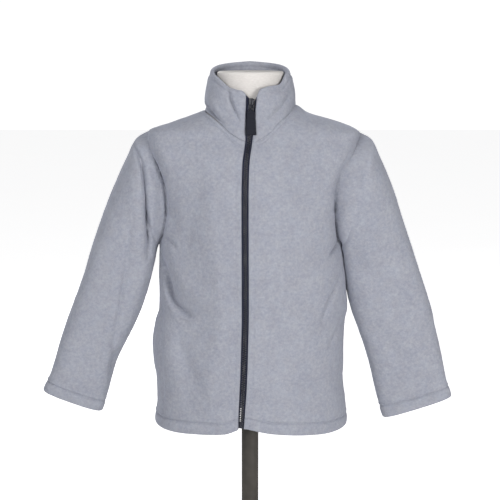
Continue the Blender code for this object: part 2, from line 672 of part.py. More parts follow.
def wall_object(name, piece, material, closed=False):
    """Closed wall between a piece's outer points and the inner ones a thickness below."""
    outer = piece["outer"] + piece["shift"]
    inner = outer - piece["normal"] * piece["thick"][..., None]
    rows, columns = outer.shape[:2]
    count = rows * columns
    last = columns if closed else columns - 1
    faces = []
    for row in range(rows - 1):
        for col in range(last):
            beside = (col + 1) % columns
            a = row * columns + col
            b = row * columns + beside
            c = (row + 1) * columns + beside
            d = (row + 1) * columns + col
            faces.append((a, b, c, d))
            faces.append((count + d, count + c, count + b, count + a))
    for row in (0, rows - 1):
        for col in range(last):
            a = row * columns + col
            b = row * columns + (col + 1) % columns
            faces.append((a, b, count + b, count + a))
    if not closed:
        for col in (0, columns - 1):
            for row in range(rows - 1):
                a = row * columns + col
                d = (row + 1) * columns + col
                faces.append((a, d, count + d, count + a))
    vertices = np.concatenate([outer.reshape(-1, 3), inner.reshape(-1, 3)])
    return new_object(name, vertices, faces, material)


def strip_object(name, profiles, material, smooth=True):
    """Closed bar through matching closed profiles, with flat ends."""
    profiles = np.asarray(profiles)
    rings, sides = profiles.shape[:2]
    faces = [tuple(range(sides)), tuple(range((rings - 1) * sides, rings * sides))]
    for ring in range(rings - 1):
        for spot in range(sides):
            beside = (spot + 1) % sides
            a = ring * sides
            faces.append((a + spot, a + beside, a + sides + beside, a + sides + spot))
    return new_object(name, profiles.reshape(-1, 3), faces, material, smooth)


def turned_object(name, outline, material, middle=(0.0, 0.0), sides=TURNED_SIDES):
    """Solid of revolution; outline is (radius, height) pairs, closed through the axis where 0."""
    vertices = []
    loops = []
    for radius, height in outline:
        if radius == 0:
            loops.append([len(vertices)] * sides)
            vertices.append((middle[0], middle[1], height))
            continue
        loops.append(list(range(len(vertices), len(vertices) + sides)))
        for i in range(sides):
            turn = 2 * math.pi * i / sides
            x = middle[0] + radius * math.cos(turn)
            y = middle[1] + radius * math.sin(turn)
            vertices.append((x, y, height))
    faces = []
    closed_ring = outline[0][0] != 0
    pairs = list(zip(loops, loops[1:]))
    if closed_ring:
        pairs.append((loops[-1], loops[0]))
    for low, high in pairs:
        for i in range(sides):
            beside = (i + 1) % sides
            corner = []
            for index in (low[i], low[beside], high[beside], high[i]):
                if index not in corner:
                    corner.append(index)
            faces.append(tuple(corner))
    return new_object(name, vertices, faces, material)


def new_material(name, colour, roughness, metallic=0.0):
    material = bpy.data.materials.new(name)
    material.use_nodes = True
    shader = material.node_tree.nodes["Principled BSDF"]
    shader.inputs["Base Color"].default_value = (*colour, 1.0)
    shader.inputs["Roughness"].default_value = roughness
    shader.inputs["Metallic"].default_value = metallic
    material.diffuse_color = (*colour, 1.0)
    return material


def collar_station(base, top, out, bulge):
    """Profile of the collar's two layers at one place round the neck.

    Runs up the outer layer, over the folded edge, down the inner layer and back up the slot.
    """
    rise = top - base
    tall = np.linalg.norm(rise)
    up = rise / tall
    thick = unit(out - up * (out @ up))
    whole = CLOTH + COLLAR_SLOT + COLLAR_INNER_CLOTH
    edge = whole / 2
    cut = COLLAR_FOLD_ROUND * edge
    inner = CLOTH + COLLAR_SLOT
    face = [(SEAM_GAP, 0.0)]
    face += [(share * tall, bulged) for share, bulged in COLLAR_RISE]
    face.append((tall - COLLAR_SLOT_TOP, COLLAR_TOP_BULGE))
    fold = ((tall - edge, 0.0), (tall - cut, cut), (tall, edge),
            (tall - cut, whole - cut), (tall - edge, whole))
    outline = [(along, 0.0, share) for along, share in face]
    outline += [(along, deep, 0.0) for along, deep in fold]
    outline += [(along, whole, share) for along, share in reversed(face)]
    outline += [(along, inner, share) for along, share in face]
    outline += [(along, CLOTH, share) for along, share in reversed(face)]
    return np.array([base + up * along + thick * (share * bulge - deep) for along, deep, share in outline])


def collar_top(name, turn):
    """A value of the collar's top edge at a turn from the front, in degrees."""
    turns = column(COLLAR_TOP, COLLAR_COLUMNS, "turn")
    return float(smooth_curve(turns, column(COLLAR_TOP, COLLAR_COLUMNS, name), turn))


def collar_profiles(front_right, back, front_left):
    """Collar stations from the right front edge, round the back, to the left front edge."""
    base = [front_right["outer"][-1, col] for col in range(NECK_FRONT_COLUMNS + 1)]
    first = SHOULDER_COLUMNS
    base += [back["outer"][-1, first + step] for step in range(1, NECK_BACK_COLUMNS)]
    base += [front_left["outer"][-1, col] for col in range(NECK_FRONT_COLUMNS, -1, -1)]
    profiles = []
    for index, point in enumerate(base):
        side = RIGHT if point[0] < 0 else LEFT
        deep = NECK_FRONT if point[1] < 0 else NECK_BACK
        turn = math.atan2(abs(point[0]) / NECK_HALF_WIDTH, -point[1] / deep)
        degrees = math.degrees(turn)
        height = collar_top("height", degrees)
        x = side * collar_top("half_width", degrees) * math.sin(turn)
        if index in (0, len(base) - 1):
            x = float(zip_value("offset", height) + side * zip_value("half_opening", height))
            height -= COLLAR_CORNER_DROP
        top = np.array([x, -collar_top("front_or_back", degrees) * math.cos(turn), height])
        out = np.array([side * math.sin(turn), -math.cos(turn), 0.0])
        profiles.append(collar_station(point, top, out, COLLAR_BULGE * math.sin(turn)))
    return np.array(profiles)


def zip_rows(front, collar, edge_station, next_station):
    """Pairs of points on a front's edge, one at the edge and one in from it, with outward normals."""
    at_edge = list(front["outer"][:, 0])
    inside = list(front["outer"][:, 1])
    normal = list(front["plain"][:, 0])
    for row in TAPE_ROWS:
        low = min(int(row), 2)
        part = row - low

        def on_face(station, low=low, part=part):
            return collar[station, low] * (1 - part) + collar[station, low + 1] * part

        at_edge.append(on_face(edge_station))
        inside.append(on_face(next_station))
        normal.append(unit(collar[edge_station, low] - collar[edge_station, -1 - low]))
    at_edge = np.array(at_edge)
    normal = np.array(normal)
    seam = len(front["outer"]) - 1
    normal[seam] = unit(normal[seam - 1] + normal[seam + 1])
    return at_edge, np.array(inside), normal


def tape_profiles(at_edge, inside, normal, half_opening):
    """Cross-sections of a zip tape under a front's edge."""
    profiles = []
    for edge, further, outward, half in zip(at_edge, inside, normal, half_opening):
        across = unit(further - edge)
        near = edge + across * (TAPE_START - half)
        far = edge + across * (TAPE_REACH - half)
        depths = (TAPE_DEPTH, TAPE_DEPTH + TAPE_THICK)
        profiles.append([near - outward * depths[0], far - outward * depths[0],
                         far - outward * depths[1], near - outward * depths[1]])
    return np.array(profiles)


def build_jacket(fleece, tape_cloth, teeth, metal, rubber):
    """All cloth pieces and the zip."""
    fronts = {RIGHT: front_panel(RIGHT), LEFT: front_panel(LEFT)}
    back = back_panel()
    for piece in (fronts[RIGHT], fronts[LEFT], back):
        piece["plain"] = piece["normal"].copy()
    underarm = SIDE_ROWS + len(HEM_STEPS) - 1
    top = underarm + ARMHOLE_ROWS
    shoulder_end = NECK_FRONT_COLUMNS + SHOULDER_COLUMNS
    back_last = 2 * SHOULDER_COLUMNS + NECK_BACK_COLUMNS
    for side, name in ((RIGHT, "right"), (LEFT, "left")):
        front = fronts[side]
        back_edge = 0 if side == RIGHT else back_last
        inward = 1 if side == RIGHT else -1
        ring = list(front["outer"][underarm:, shoulder_end][::-1])
        ring += list(back["outer"][underarm + 1:top, back_edge])
        sleeve = sleeve_panel(side, np.array(ring))
        sleeve["plain"] = sleeve["normal"].copy()

        seam = [(row, shoulder_end) for row in range(underarm + 1)]
        match = [(row, back_edge) for row in range(underarm + 1)]
        join(front, seam, [(0, -1)] * len(seam), back, match, [(0, inward)] * len(seam))
        seam = [(top, NECK_FRONT_COLUMNS + step) for step in range(SHOULDER_COLUMNS + 1)]
        match = [(top, back_edge + inward * step) for step in range(SHOULDER_COLUMNS, -1, -1)]
        join(front, seam, [(-1, 0)] * len(seam), back, match, [(-1, 0)] * len(seam))
        seam = [(top - step, shoulder_end) for step in range(ARMHOLE_ROWS + 1)]
        match = [(0, step) for step in range(ARMHOLE_ROWS + 1)]
        join(front, seam, [(0, -1)] * len(seam), sleeve, match, [(1, 0)] * len(seam))
        seam = [(underarm + step, back_edge) for step in range(1, ARMHOLE_ROWS)]
        match = [(0, ARMHOLE_ROWS + step) for step in range(1, ARMHOLE_ROWS)]
        join(back, seam, [(0, inward)] * len(seam), sleeve, match, [(1, 0)] * len(seam))
        tip = unit(front["plain"][top, shoulder_end] + back["plain"][top, back_edge] + sleeve["plain"][0, 0])
        front["normal"][top, shoulder_end] = tip
        back["normal"][top, back_edge] = tip
        sleeve["normal"][0, 0] = tip
        crotch = unit(front["plain"][underarm, shoulder_end] + back["plain"][underarm, back_edge])
        front["normal"][underarm, shoulder_end] = crotch
        back["normal"][underarm, back_edge] = crotch
        wall_object("sleeve_" + name, sleeve, fleece, closed=True)
    for side, name in ((RIGHT, "right"), (LEFT, "left")):
        wall_object("front_" + name, fronts[side], fleece)
    wall_object("back", back, fleece)

    collar = collar_profiles(fronts[RIGHT], back, fronts[LEFT])
    strip_object("collar", collar, fleece)
    build_zip(fronts, collar, tape_cloth, teeth, metal, rubber)


def build_zip(fronts, collar, tape_cloth, teeth, metal, rubber):
    """Tapes, chain, box, slider, ring and tab."""
    right = zip_rows(fronts[RIGHT], collar, 0, 1)
    left = zip_rows(fronts[LEFT], collar, -1, -2)
    middle = (right[0] + left[0]) / 2
    outward = unit(right[2] + left[2])
    half = np.linalg.norm(right[0] - left[0], axis=1) / 2
    strip_object("zip_tape_right", tape_profiles(*right, half), tape_cloth)
    strip_object("zip_tape_left", tape_profiles(*left, half), tape_cloth)

    run = np.concatenate([[0], np.cumsum(np.linalg.norm(np.diff(middle, axis=0), axis=1))])

    def at_run(where):
        spot = np.array([np.interp(where, run, middle[:, axis]) for axis in range(3)])
        facing = unit(np.array([np.interp(where, run, outward[:, axis]) for axis in range(3)]))
        ahead = np.array([np.interp(where + SLOPE_STEP, run, middle[:, axis]) for axis in range(3)])
        behind = np.array([np.interp(where - SLOPE_STEP, run, middle[:, axis]) for axis in range(3)])
        up = unit(ahead - behind)
        return spot, unit(facing - up * (facing @ up)), up

    def bar(where, half_width_here, thick):
        spot, facing, up = at_run(where)
        across = np.cross(up, facing)
        high = spot - facing * (CHAIN_DEPTH - thick / 2)
        low = spot - facing * (CHAIN_DEPTH + thick / 2)
        return [high - across * half_width_here, high + across * half_width_here,
                low + across * half_width_here, low - across * half_width_here]

    heights = middle[:, 2]
    slider_run = float(np.interp(SLIDER_CENTRE_HEIGHT, heights, run))
    chain_start = BOX_LENGTH + SEAM_GAP
    chain_end = slider_run - SLIDER_LENGTH / 2 - SEAM_GAP
    between = [r for r in run if chain_start + CHAIN_STOP_SPACE < r < chain_end - CHAIN_STOP_SPACE]
    stops = [chain_start] + between + [chain_end]
    strip_object("zip_chain", [bar(r, CHAIN_HALF_WIDTH, CHAIN_THICK) for r in stops], teeth)
    box = [bar(r, CHAIN_HALF_WIDTH, BOX_THICK) for r in (ZIP_END_INSET, BOX_LENGTH)]
    strip_object("zip_box", box, teeth, smooth=False)
    place = at_run(slider_run)
    build_slider(place, metal)
    build_pull(place, metal, rubber)


def placed(place, x, deep, along):
    """Point beside a place on the zip: to its side, out from it and up it."""
    spot, facing, up = place
    return spot + np.cross(up, facing) * x + facing * deep + up * along


def pull_axis_depth():
    """How far the pull's axis stands out from the fleece's face."""
    return SLIDER_FRONT_FACE + RING_CLEAR + RING_WIRE / 2


def build_slider(place, metal):
    """The slider's two plates and post, with the bridge that holds the ring."""
    front_under = SLIDER_FRONT_FACE - SLIDER_PLATE
    back_top = -(CHAIN_DEPTH + CHAIN_THICK / 2 + SLIDER_CLEAR)
    back_face = back_top - SLIDER_PLATE
    wide = SLIDER_HALF_WIDTH
    post = SLIDER_POST_HALF
    section = ((-wide, SLIDER_FRONT_FACE), (wide, SLIDER_FRONT_FACE), (wide, front_under), (post, front_under),
               (post, back_top), (wide, back_top), (wide, back_face), (-wide, back_face),
               (-wide, back_top), (-post, back_top), (-post, front_under), (-wide, front_under))
    ends = (-SLIDER_LENGTH / 2, SLIDER_LENGTH / 2)
    plates = [[placed(place, x, deep, end) for x, deep in section] for end in ends]
    slider = strip_object("zip_slider", plates, metal, smooth=False)

    window = RING_WIRE / 2 + RING_CLEAR
    outside = window + BRIDGE_WALL
    rooted = SLIDER_FRONT_FACE - SLIDER_PLATE / 2
    axis = pull_axis_depth()
    legs = ((-outside, rooted), (-outside, axis + outside), (outside, axis + outside), (outside, rooted),
            (window, rooted), (window, axis + window), (-window, axis + window), (-window, rooted))
    sides = (-BRIDGE_HALF_WIDTH, BRIDGE_HALF_WIDTH)
    arch = [[placed(place, x, deep, along - BRIDGE_DROP) for along, deep in legs] for x in sides]
    bridge = strip_object("slider_bridge", arch, metal, smooth=False)
    bridge.hide_render = True
    bridge.display_type = "WIRE"
    union = slider.modifiers.new("bridge", "BOOLEAN")
    union.operation = "UNION"
    union.solver = "EXACT"
    union.object = bridge


def build_pull(place, metal, rubber):
    """The ring and the tab, which swing on the slider's bridge and hang straight down."""
    hinge = bpy.data.objects.new("pull_hinge", None)
    bpy.context.scene.collection.objects.link(hinge)
    hinge.location = tuple(placed(place, 0, pull_axis_depth(), -BRIDGE_DROP))
    up = unit(place[2] * np.array([0, 1, 1]))
    across = np.array([1.0, 0, 0])
    facing = np.cross(across, up)

    right = RING_HALF_WIDTH - RING_CORNER
    high = -RING_CORNER
    foot = -(RING_LENGTH - RING_WIRE)
    low = foot + RING_CORNER
    path = []
    for x, z, start in ((right, high, 0), (-right, high, 90), (-right, low, 180), (right, low, 270)):
        for step in range(RING_CORNER_STEPS + 1):
            turn = math.radians(start + 90 * step / RING_CORNER_STEPS)
            path.append((x + RING_CORNER * math.cos(turn), z + RING_CORNER * math.sin(turn)))
    count = len(path)
    vertices = []
    for i, (x, z) in enumerate(path):
        ahead = unit(np.subtract(path[(i + 1) % count], path[i - 1]))
        for k in range(RING_WIRE_SIDES):
            turn = 2 * math.pi * k / RING_WIRE_SIDES
            off = RING_WIRE / 2 * math.cos(turn)
            deep = RING_WIRE / 2 * math.sin(turn)
            vertices.append(across * (x + ahead[1] * off) + up * (z - ahead[0] * off) + facing * deep)
    faces = []
    for i in range(count):
        this = i * RING_WIRE_SIDES
        following = (i + 1) % count * RING_WIRE_SIDES
        for k in range(RING_WIRE_SIDES):
            beside = (k + 1) % RING_WIRE_SIDES
            faces.append((this + k, this + beside, following + beside, following + k))
    ring = new_object("zip_pull_ring", vertices, faces, metal)
    ring.parent = hinge

    tab_top = foot - RING_WIRE / 2 - SEAM_GAP
    stations = 2 * TAB_RIBS + 1
    profiles = []
    for i in range(stations):
        share = i / (stations - 1)
        level = up * (tab_top - TAB_LENGTH * share)
        wide = across * (TAB_TOP_HALF + (TAB_FOOT_HALF - TAB_TOP_HALF) * share)
        thick = facing * (TAB_THICK / 2 - (TAB_RIB_DEPTH if i % 2 else 0))
        front = [level - wide + thick, level + wide + thick]
        rear = [level + wide - thick, level - wide - thick]
        profiles.append(front + rear)
    tab = strip_object("zip_pull_tab", profiles, rubber, smooth=False)
    tab.parent = hinge


def build_form(jersey, cap_finish, metal):
    """Torso, neck cap, flange, pole and foot."""
    rings = []
    for height, half, front, back, squareness in FORM_SECTIONS:
        ring = []
        for i in range(FORM_SIDES):
            turn = 2 * math.pi * i / FORM_SIDES
            deep = front if math.sin(turn) < 0 else back
            across = math.copysign(abs(math.cos(turn)) ** (2 / squareness), math.cos(turn))
            ahead = math.copysign(abs(math.sin(turn)) ** (2 / squareness), math.sin(turn))
            ring.append((FORM_MIDDLE_X + half * across, deep * ahead, height))
        rings.append(ring)
    strip_object("form_torso", rings, jersey)
    under = FORM_SECTIONS[0][0] - SEAM_GAP
    bore = POLE_RADIUS + SEAM_GAP
    tube_end = under - FLANGE_TUBE_LENGTH
    plate = under - FLANGE_THICK
    cap = ((0, CAP_TOP - CAP_THICK), (CAP_RADIUS, CAP_TOP - CAP_THICK), (CAP_RADIUS, CAP_TOP - CAP_CHAMFER),
           (CAP_RADIUS - CAP_CHAMFER, CAP_TOP), (0, CAP_TOP))
    flange = ((bore, under), (bore, tube_end), (FLANGE_TUBE_RADIUS, tube_end), (FLANGE_TUBE_RADIUS, plate),
              (FLANGE_RADIUS, plate), (FLANGE_RADIUS, under))
    pole = ((0, POLE_FOOT + SEAM_GAP), (POLE_RADIUS, POLE_FOOT + SEAM_GAP), (POLE_RADIUS, under), (0, under))
    foot = ((0, 0), (FOOT_RADIUS - FOOT_UNDER_ROUND, 0), (FOOT_RADIUS, FOOT_UNDER_ROUND),
            (FOOT_RADIUS, FOOT_EDGE - FOOT_EDGE_ROUND), (FOOT_RADIUS - FOOT_EDGE_ROUND, FOOT_EDGE),
            (FOOT_BOSS_RADIUS + FOOT_BOSS_FLARE, FOOT_THICK), (FOOT_BOSS_RADIUS, FOOT_THICK + FOOT_BOSS_RISE),
            (FOOT_BOSS_RADIUS, FOOT_BOSS_TOP - FOOT_EDGE_ROUND),
            (FOOT_BOSS_RADIUS - FOOT_EDGE_ROUND, FOOT_BOSS_TOP), (bore, FOOT_BOSS_TOP), (bore, POLE_FOOT), (0, POLE_FOOT))
    turned_object("form_neck_cap", cap, cap_finish, middle=(FORM_MIDDLE_X, CAP_MIDDLE_Y))
    turned_object("form_flange", flange, metal)
    turned_object("form_pole", pole, metal, sides=POLE_SIDES)
    turned_object("form_base", foot, metal)


fleece = new_material("fleece", (0.36, 0.38, 0.45), 0.95)
tape_cloth = new_material("zip_tape", (0.018, 0.02, 0.035), 0.8)
teeth = new_material("zip_teeth", (0.02, 0.022, 0.035), 0.35)
metal = new_material("dark_metal", (0.03, 0.03, 0.032), 0.4, 1.0)
rubber = new_material("pull_rubber", (0.02, 0.022, 0.03), 0.55)
jersey = new_material("form_jersey", (0.74, 0.72, 0.69), 0.9)
cap_finish = new_material("form_cap", (0.80, 0.78, 0.75), 0.6)

build_jacket(fleece, tape_cloth, teeth, metal, rubber)
build_form(jersey, cap_finish, metal)
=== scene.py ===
"""Looks of a child's fleece zip jacket, worn by a limbless dress form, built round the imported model.

Metres, +Z up. The wearer faces -Y, with the wearer's left arm at +X.
"""
import json
import math

import bpy
import numpy as np
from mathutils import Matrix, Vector


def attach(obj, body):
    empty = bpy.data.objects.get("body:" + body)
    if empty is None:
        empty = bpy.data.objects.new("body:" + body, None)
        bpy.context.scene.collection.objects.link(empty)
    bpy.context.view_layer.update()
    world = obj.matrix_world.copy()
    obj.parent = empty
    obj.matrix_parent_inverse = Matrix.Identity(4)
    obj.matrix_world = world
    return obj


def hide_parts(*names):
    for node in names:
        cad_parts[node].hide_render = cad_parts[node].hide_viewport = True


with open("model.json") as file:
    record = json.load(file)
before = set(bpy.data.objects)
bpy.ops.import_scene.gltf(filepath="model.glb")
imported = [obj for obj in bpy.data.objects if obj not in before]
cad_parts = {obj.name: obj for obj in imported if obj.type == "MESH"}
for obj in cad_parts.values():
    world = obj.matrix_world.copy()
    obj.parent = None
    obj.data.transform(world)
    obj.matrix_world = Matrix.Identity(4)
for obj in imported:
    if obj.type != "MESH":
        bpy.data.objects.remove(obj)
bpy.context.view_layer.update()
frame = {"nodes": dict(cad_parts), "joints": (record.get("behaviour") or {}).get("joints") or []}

# ---------------------------------------------------------------------------------------------
# The studio: a plain pale floor that runs out of sight, a pale surround, and four large soft
# lamps. The camera stands two metres off, a little above the shoulders, and looks slightly down.
# ---------------------------------------------------------------------------------------------
scene = bpy.context.scene
scene.view_settings.view_transform = "Standard"


class Value:
    """What a node puts out; arithmetic on it adds Math nodes."""

    def __init__(self, finish, socket):
        self.finish = finish
        self.socket = socket

    def maths(self, operation, first, second):
        return self.finish.node("ShaderNodeMath", {"operation": operation}, {0: first, 1: second})

    def __add__(self, other):
        return self.maths("ADD", self, other)

    def __radd__(self, other):
        return self.maths("ADD", other, self)

    def __sub__(self, other):
        return self.maths("SUBTRACT", self, other)

    def __rsub__(self, other):
        return self.maths("SUBTRACT", other, self)

    def __mul__(self, other):
        return self.maths("MULTIPLY", self, other)

    def __rmul__(self, other):
        return self.maths("MULTIPLY", other, self)


class Finish:
    """A material: its Principled shader, and one method that adds any other node."""

    def __init__(self, name, **fixed):
        self.material = bpy.data.materials.new(name)
        self.material.use_nodes = True
        self.tree = self.material.node_tree
        self.shader = self.tree.nodes["Principled BSDF"]
        for socket, value in fixed.items():
            self.shader.inputs[socket.replace("_", " ")].default_value = value

    def node(self, kind, settings=None, sockets=None, output=0):
        """A node with its settings, its sockets' values or links, and the output that is used."""
        made = self.tree.nodes.new(kind)
        for name, value in (settings or {}).items():
            if name == "stops":
                ramp = made.color_ramp
                for stop, (place, shade) in enumerate(value):
                    element = ramp.elements[stop] if stop < 2 else ramp.elements.new(place)
                    element.position = place
                    element.color = (shade, shade, shade, 1)
            else:
                setattr(made, name, value)
        for name, value in (sockets or {}).items():
            if isinstance(value, Value):
                self.tree.links.new(value.socket, made.inputs[name])
            else:
                made.inputs[name].default_value = value
        return Value(self, made.outputs[output])

    def noise(self, lump, detail=2.0, roughness=0.5, stretch=(1, 1, 1)):
        """Noise from 0 to 1 whose lumps have a size in metres."""
        place = self.node("ShaderNodeTexCoord", output="Object")
        spread = self.node("ShaderNodeMapping", sockets={"Vector": place, "Scale": stretch})
        sizes = {"Vector": spread, "Scale": 1 / lump, "Detail": detail, "Roughness": roughness}
        return self.node("ShaderNodeTexNoise", sockets=sizes)

    def ramp(self, value, *stops):
        """A value mapped through grey stops of place and shade."""
        return self.node("ShaderNodeValToRGB", {"stops": stops}, {"Fac": value})

    def blend(self, amount, first, second):
        """A mix of two colours."""
        shades = {0: amount, 6: first, 7: second}
        return self.node("ShaderNodeMix", {"data_type": "RGBA"}, shades, output=2)

    def bump(self, height, strength, distance):
        relief = {"Height": height, "Strength": strength, "Distance": distance}
        self.feed("Normal", self.node("ShaderNodeBump", sockets=relief))

    def feed(self, socket, value):
        self.tree.links.new(value.socket, self.shader.inputs[socket])


FLOOR_HALF = 9.0
floor_mesh = bpy.data.meshes.new("studio_floor")
corners = [(x, y, 0) for x, y in ((-1, -1), (1, -1), (1, 1), (-1, 1))]
floor_mesh.from_pydata([tuple(FLOOR_HALF * c for c in corner) for corner in corners], [], [(0, 1, 2, 3)])
floor = bpy.data.objects.new("studio_floor", floor_mesh)
scene.collection.objects.link(floor)
paper = Finish("studio_paper", Roughness=0.9, Specular_IOR_Level=0.1, Emission_Strength=0.75)
paper.feed("Base Color", paper.blend(paper.noise(0.3), (0.86, 0.86, 0.86, 1), (0.89, 0.89, 0.89, 1)))
paper.feed("Emission Color", paper.node("ShaderNodeLightPath"))
floor_mesh.materials.append(paper.material)

surround = bpy.data.worlds.new("studio_surround")
surround.use_nodes = True
scene.world = surround
surround_nodes = surround.node_tree.nodes
surround_links = surround.node_tree.links
light_path = surround_nodes.new("ShaderNodeLightPath")
glow = surround_nodes["Background"]
glow.inputs["Color"].default_value = (0.985, 0.985, 1.0, 1)
glow.inputs["Strength"].default_value = 0.22
backdrop = surround_nodes.new("ShaderNodeBackground")
backdrop.inputs["Color"].default_value = (1, 1, 1, 1)
backdrop.inputs["Strength"].default_value = 1.05
seen = surround_nodes.new("ShaderNodeMixShader")
surround_links.new(light_path.outputs["Is Camera Ray"], seen.inputs["Fac"])
surround_links.new(glow.outputs["Background"], seen.inputs[1])
surround_links.new(backdrop.outputs["Background"], seen.inputs[2])
surround_links.new(seen.outputs["Shader"], surround_nodes["World Output"].inputs["Surface"])

LAMP_AIM = Vector((0, 0, 0.5))
LAMPS = (  # name, place, width, power in watts, colour
    ("key_lamp", (1.7, -2.2, 0.80), 1.0, 40.5, (1.0, 0.985, 0.98)),
    ("fill_lamp", (-1.2, -2.4, 1.5), 1.4, 36.0, (0.985, 0.980, 1.0)),
    ("top_lamp", (-0.6, -0.4, 2.7), 1.6, 10.0, (1.0, 1.0, 1.0)),
    ("back_lamp", (-0.8, 2.2, 1.3), 1.6, 14.0, (1.0, 1.0, 1.0)),
)
for name, place, width, power, colour in LAMPS:
    lamp = bpy.data.lights.new(name, "AREA")
    lamp.shape = "DISK"
    lamp.size = width
    lamp.energy = power
    lamp.color = colour
    stand = bpy.data.objects.new(name, lamp)
    stand.location = place
    stand.rotation_euler = (LAMP_AIM - Vector(place)).to_track_quat("-Z", "Y").to_euler()
    scene.collection.objects.link(stand)

camera = bpy.data.objects.new("camera", bpy.data.cameras.new("camera"))
camera.data.lens = 100
camera.data.sensor_width = 36
camera.location = (0, -2.0, 0.85)
camera.rotation_euler = (Vector((0, 0, 0.52)) - camera.location).to_track_quat("-Z", "Y").to_euler()
scene.collection.objects.link(camera)
scene.camera = camera

# ---------------------------------------------------------------------------------------------
# The stand: a padded torso of moulded foam with off-white jersey stretched over it, and at its
# neck a painted cap. It is held by a plate under it, on a dark painted pole in a round foot.
# ---------------------------------------------------------------------------------------------
FORM_COLUMNS = ("height", "half_width", "front", "back", "squareness")
FORM_SECTIONS = (
    (0.3250, 0.0800, 0.0580, 0.0540, 2.2),
    (0.3270, 0.0900, 0.0670, 0.0630, 2.2),
    (0.3330, 0.0965, 0.0735, 0.0695, 2.2),
    (0.3450, 0.1000, 0.0765, 0.0725, 2.2),
    (0.3700, 0.0995, 0.0770, 0.0735, 2.2),
    (0.4100, 0.0945, 0.0755, 0.0715, 2.2),
    (0.4500, 0.0915, 0.0745, 0.0690, 2.2),
    (0.5000, 0.0930, 0.0765, 0.0695, 2.2),
    (0.5400, 0.0965, 0.0785, 0.0710, 2.2),
    (0.5800, 0.1010, 0.0790, 0.0730, 2.2),
    (0.6200, 0.1085, 0.0770, 0.0745, 2.15),
    (0.6500, 0.1150, 0.0720, 0.0735, 2.1),
    (0.6700, 0.1190, 0.0655, 0.0720, 2.0),
    (0.6840, 0.1195, 0.0590, 0.0700, 1.9),
    (0.6930, 0.1180, 0.0550, 0.0680, 1.8),
    (0.6990, 0.1150, 0.0530, 0.0665, 1.75),
    (0.7029, 0.1105, 0.0520, 0.0645, 1.7),
    (0.7087, 0.0955, 0.0505, 0.0610, 1.65),
    (0.7174, 0.0700, 0.0498, 0.0540, 1.7),
    (0.7240, 0.0550, 0.0495, 0.0490, 1.85),
    (0.7320, 0.0500, 0.0495, 0.0462, 2.0),
    (0.7420, 0.0478, 0.0495, 0.0455, 2.0),
    (0.7650, 0.0475, 0.0495, 0.0455, 2.0),
    (0.7740, 0.0478, 0.0498, 0.0458, 2.0),
    (0.7764, 0.0478, 0.0498, 0.0458, 2.0),
    (0.7770, 0.0474, 0.0494, 0.0454, 2.0),
)
FORM_MIDDLE_X = 0.0008
FORM_RING_SPACE = 0.004
FORM_SIDES = 120


def column(table, names, name):
    """One named column of a table."""
    place = names.index(name)
    return np.array([row[place] for row in table], float)


def smooth_curve(knots, values, where):
    """Smooth curve through values at knots, with no overshoot between them."""
    knots = np.asarray(knots, float)
    values = np.asarray(values, float)
    where = np.clip(np.asarray(where, float), knots[0], knots[-1])
    step = np.diff(knots).reshape((-1,) + (1,) * (values.ndim - 1))
    slope = np.diff(values, axis=0) / step
    before = slope[:-1]
    after = slope[1:]
    same_way = before * after > 0
    harmonic = 2 * before * after / np.where(same_way, before + after, 1.0)
    tangent = np.concatenate([slope[:1], np.where(same_way, harmonic, 0.0), slope[-1:]])
    cell = np.clip(np.searchsorted(knots, where, side="right") - 1, 0, len(knots) - 2)
    shape = where.shape + (1,) * (values.ndim - 1)
    width = (knots[cell + 1] - knots[cell]).reshape(shape)
    t = ((where - knots[cell]).reshape(shape)) / width
    rise = values[cell + 1] - values[cell]
    start = tangent[cell] * width
    end = tangent[cell + 1] * width
    return values[cell] + t * (start + t * (3 * rise - 2 * start - end + t * (start + end - 2 * rise)))


def unit(vectors):
    """Vectors scaled to a length of one."""
    return vectors / np.linalg.norm(vectors, axis=-1, keepdims=True)


def piece_object(name, vertices, faces, finish):
    """A mesh piece of the object."""
    mesh = bpy.data.meshes.new(name)
    mesh.from_pydata(np.asarray(vertices, float).tolist(), [], faces)
    mesh.shade_smooth()
    mesh.materials.append(finish.material)
    made = bpy.data.objects.new(name, mesh)
    scene.collection.objects.link(made)
    return made


def grid_faces(rows, columns, closed=False, first=0):
    """Four-sided faces of a grid of vertices; its columns run round when closed."""
    row, col = np.mgrid[0:rows - 1, 0:columns if closed else columns - 1]
    beside = (col + 1) % columns
    corners = (row * columns + col, row * columns + beside, (row + 1) * columns + beside, (row + 1) * columns + col)
    return (np.stack(corners, axis=-1).reshape(-1, 4) + first).tolist()


heights = column(FORM_SECTIONS, FORM_COLUMNS, "height")
levels = np.arange(heights[0], heights[-1], FORM_RING_SPACE)
levels = np.unique(np.concatenate([levels, heights, heights[0] + np.array((0.0005, 0.001, 0.0035, 0.005))]))
sizes = {name: smooth_curve(heights, column(FORM_SECTIONS, FORM_COLUMNS, name), levels)[:, None]
         for name in FORM_COLUMNS[1:]}
turn = 2 * math.pi * np.arange(FORM_SIDES) / FORM_SIDES
power = 2 / sizes["squareness"]
across = np.sign(np.cos(turn)) * np.abs(np.cos(turn)) ** power
ahead = np.sign(np.sin(turn)) * np.abs(np.sin(turn)) ** power
deep = np.where(np.sin(turn) < 0, sizes["front"], sizes["back"])
torso_points = np.stack([FORM_MIDDLE_X + sizes["half_width"] * across, deep * ahead,
                         np.broadcast_to(levels[:, None], across.shape)], axis=-1)
torso_faces = grid_faces(len(levels), FORM_SIDES, closed=True)
torso_faces.append(list(range(FORM_SIDES))[::-1])
torso_faces.append(list(range((len(levels) - 1) * FORM_SIDES, len(levels) * FORM_SIDES)))

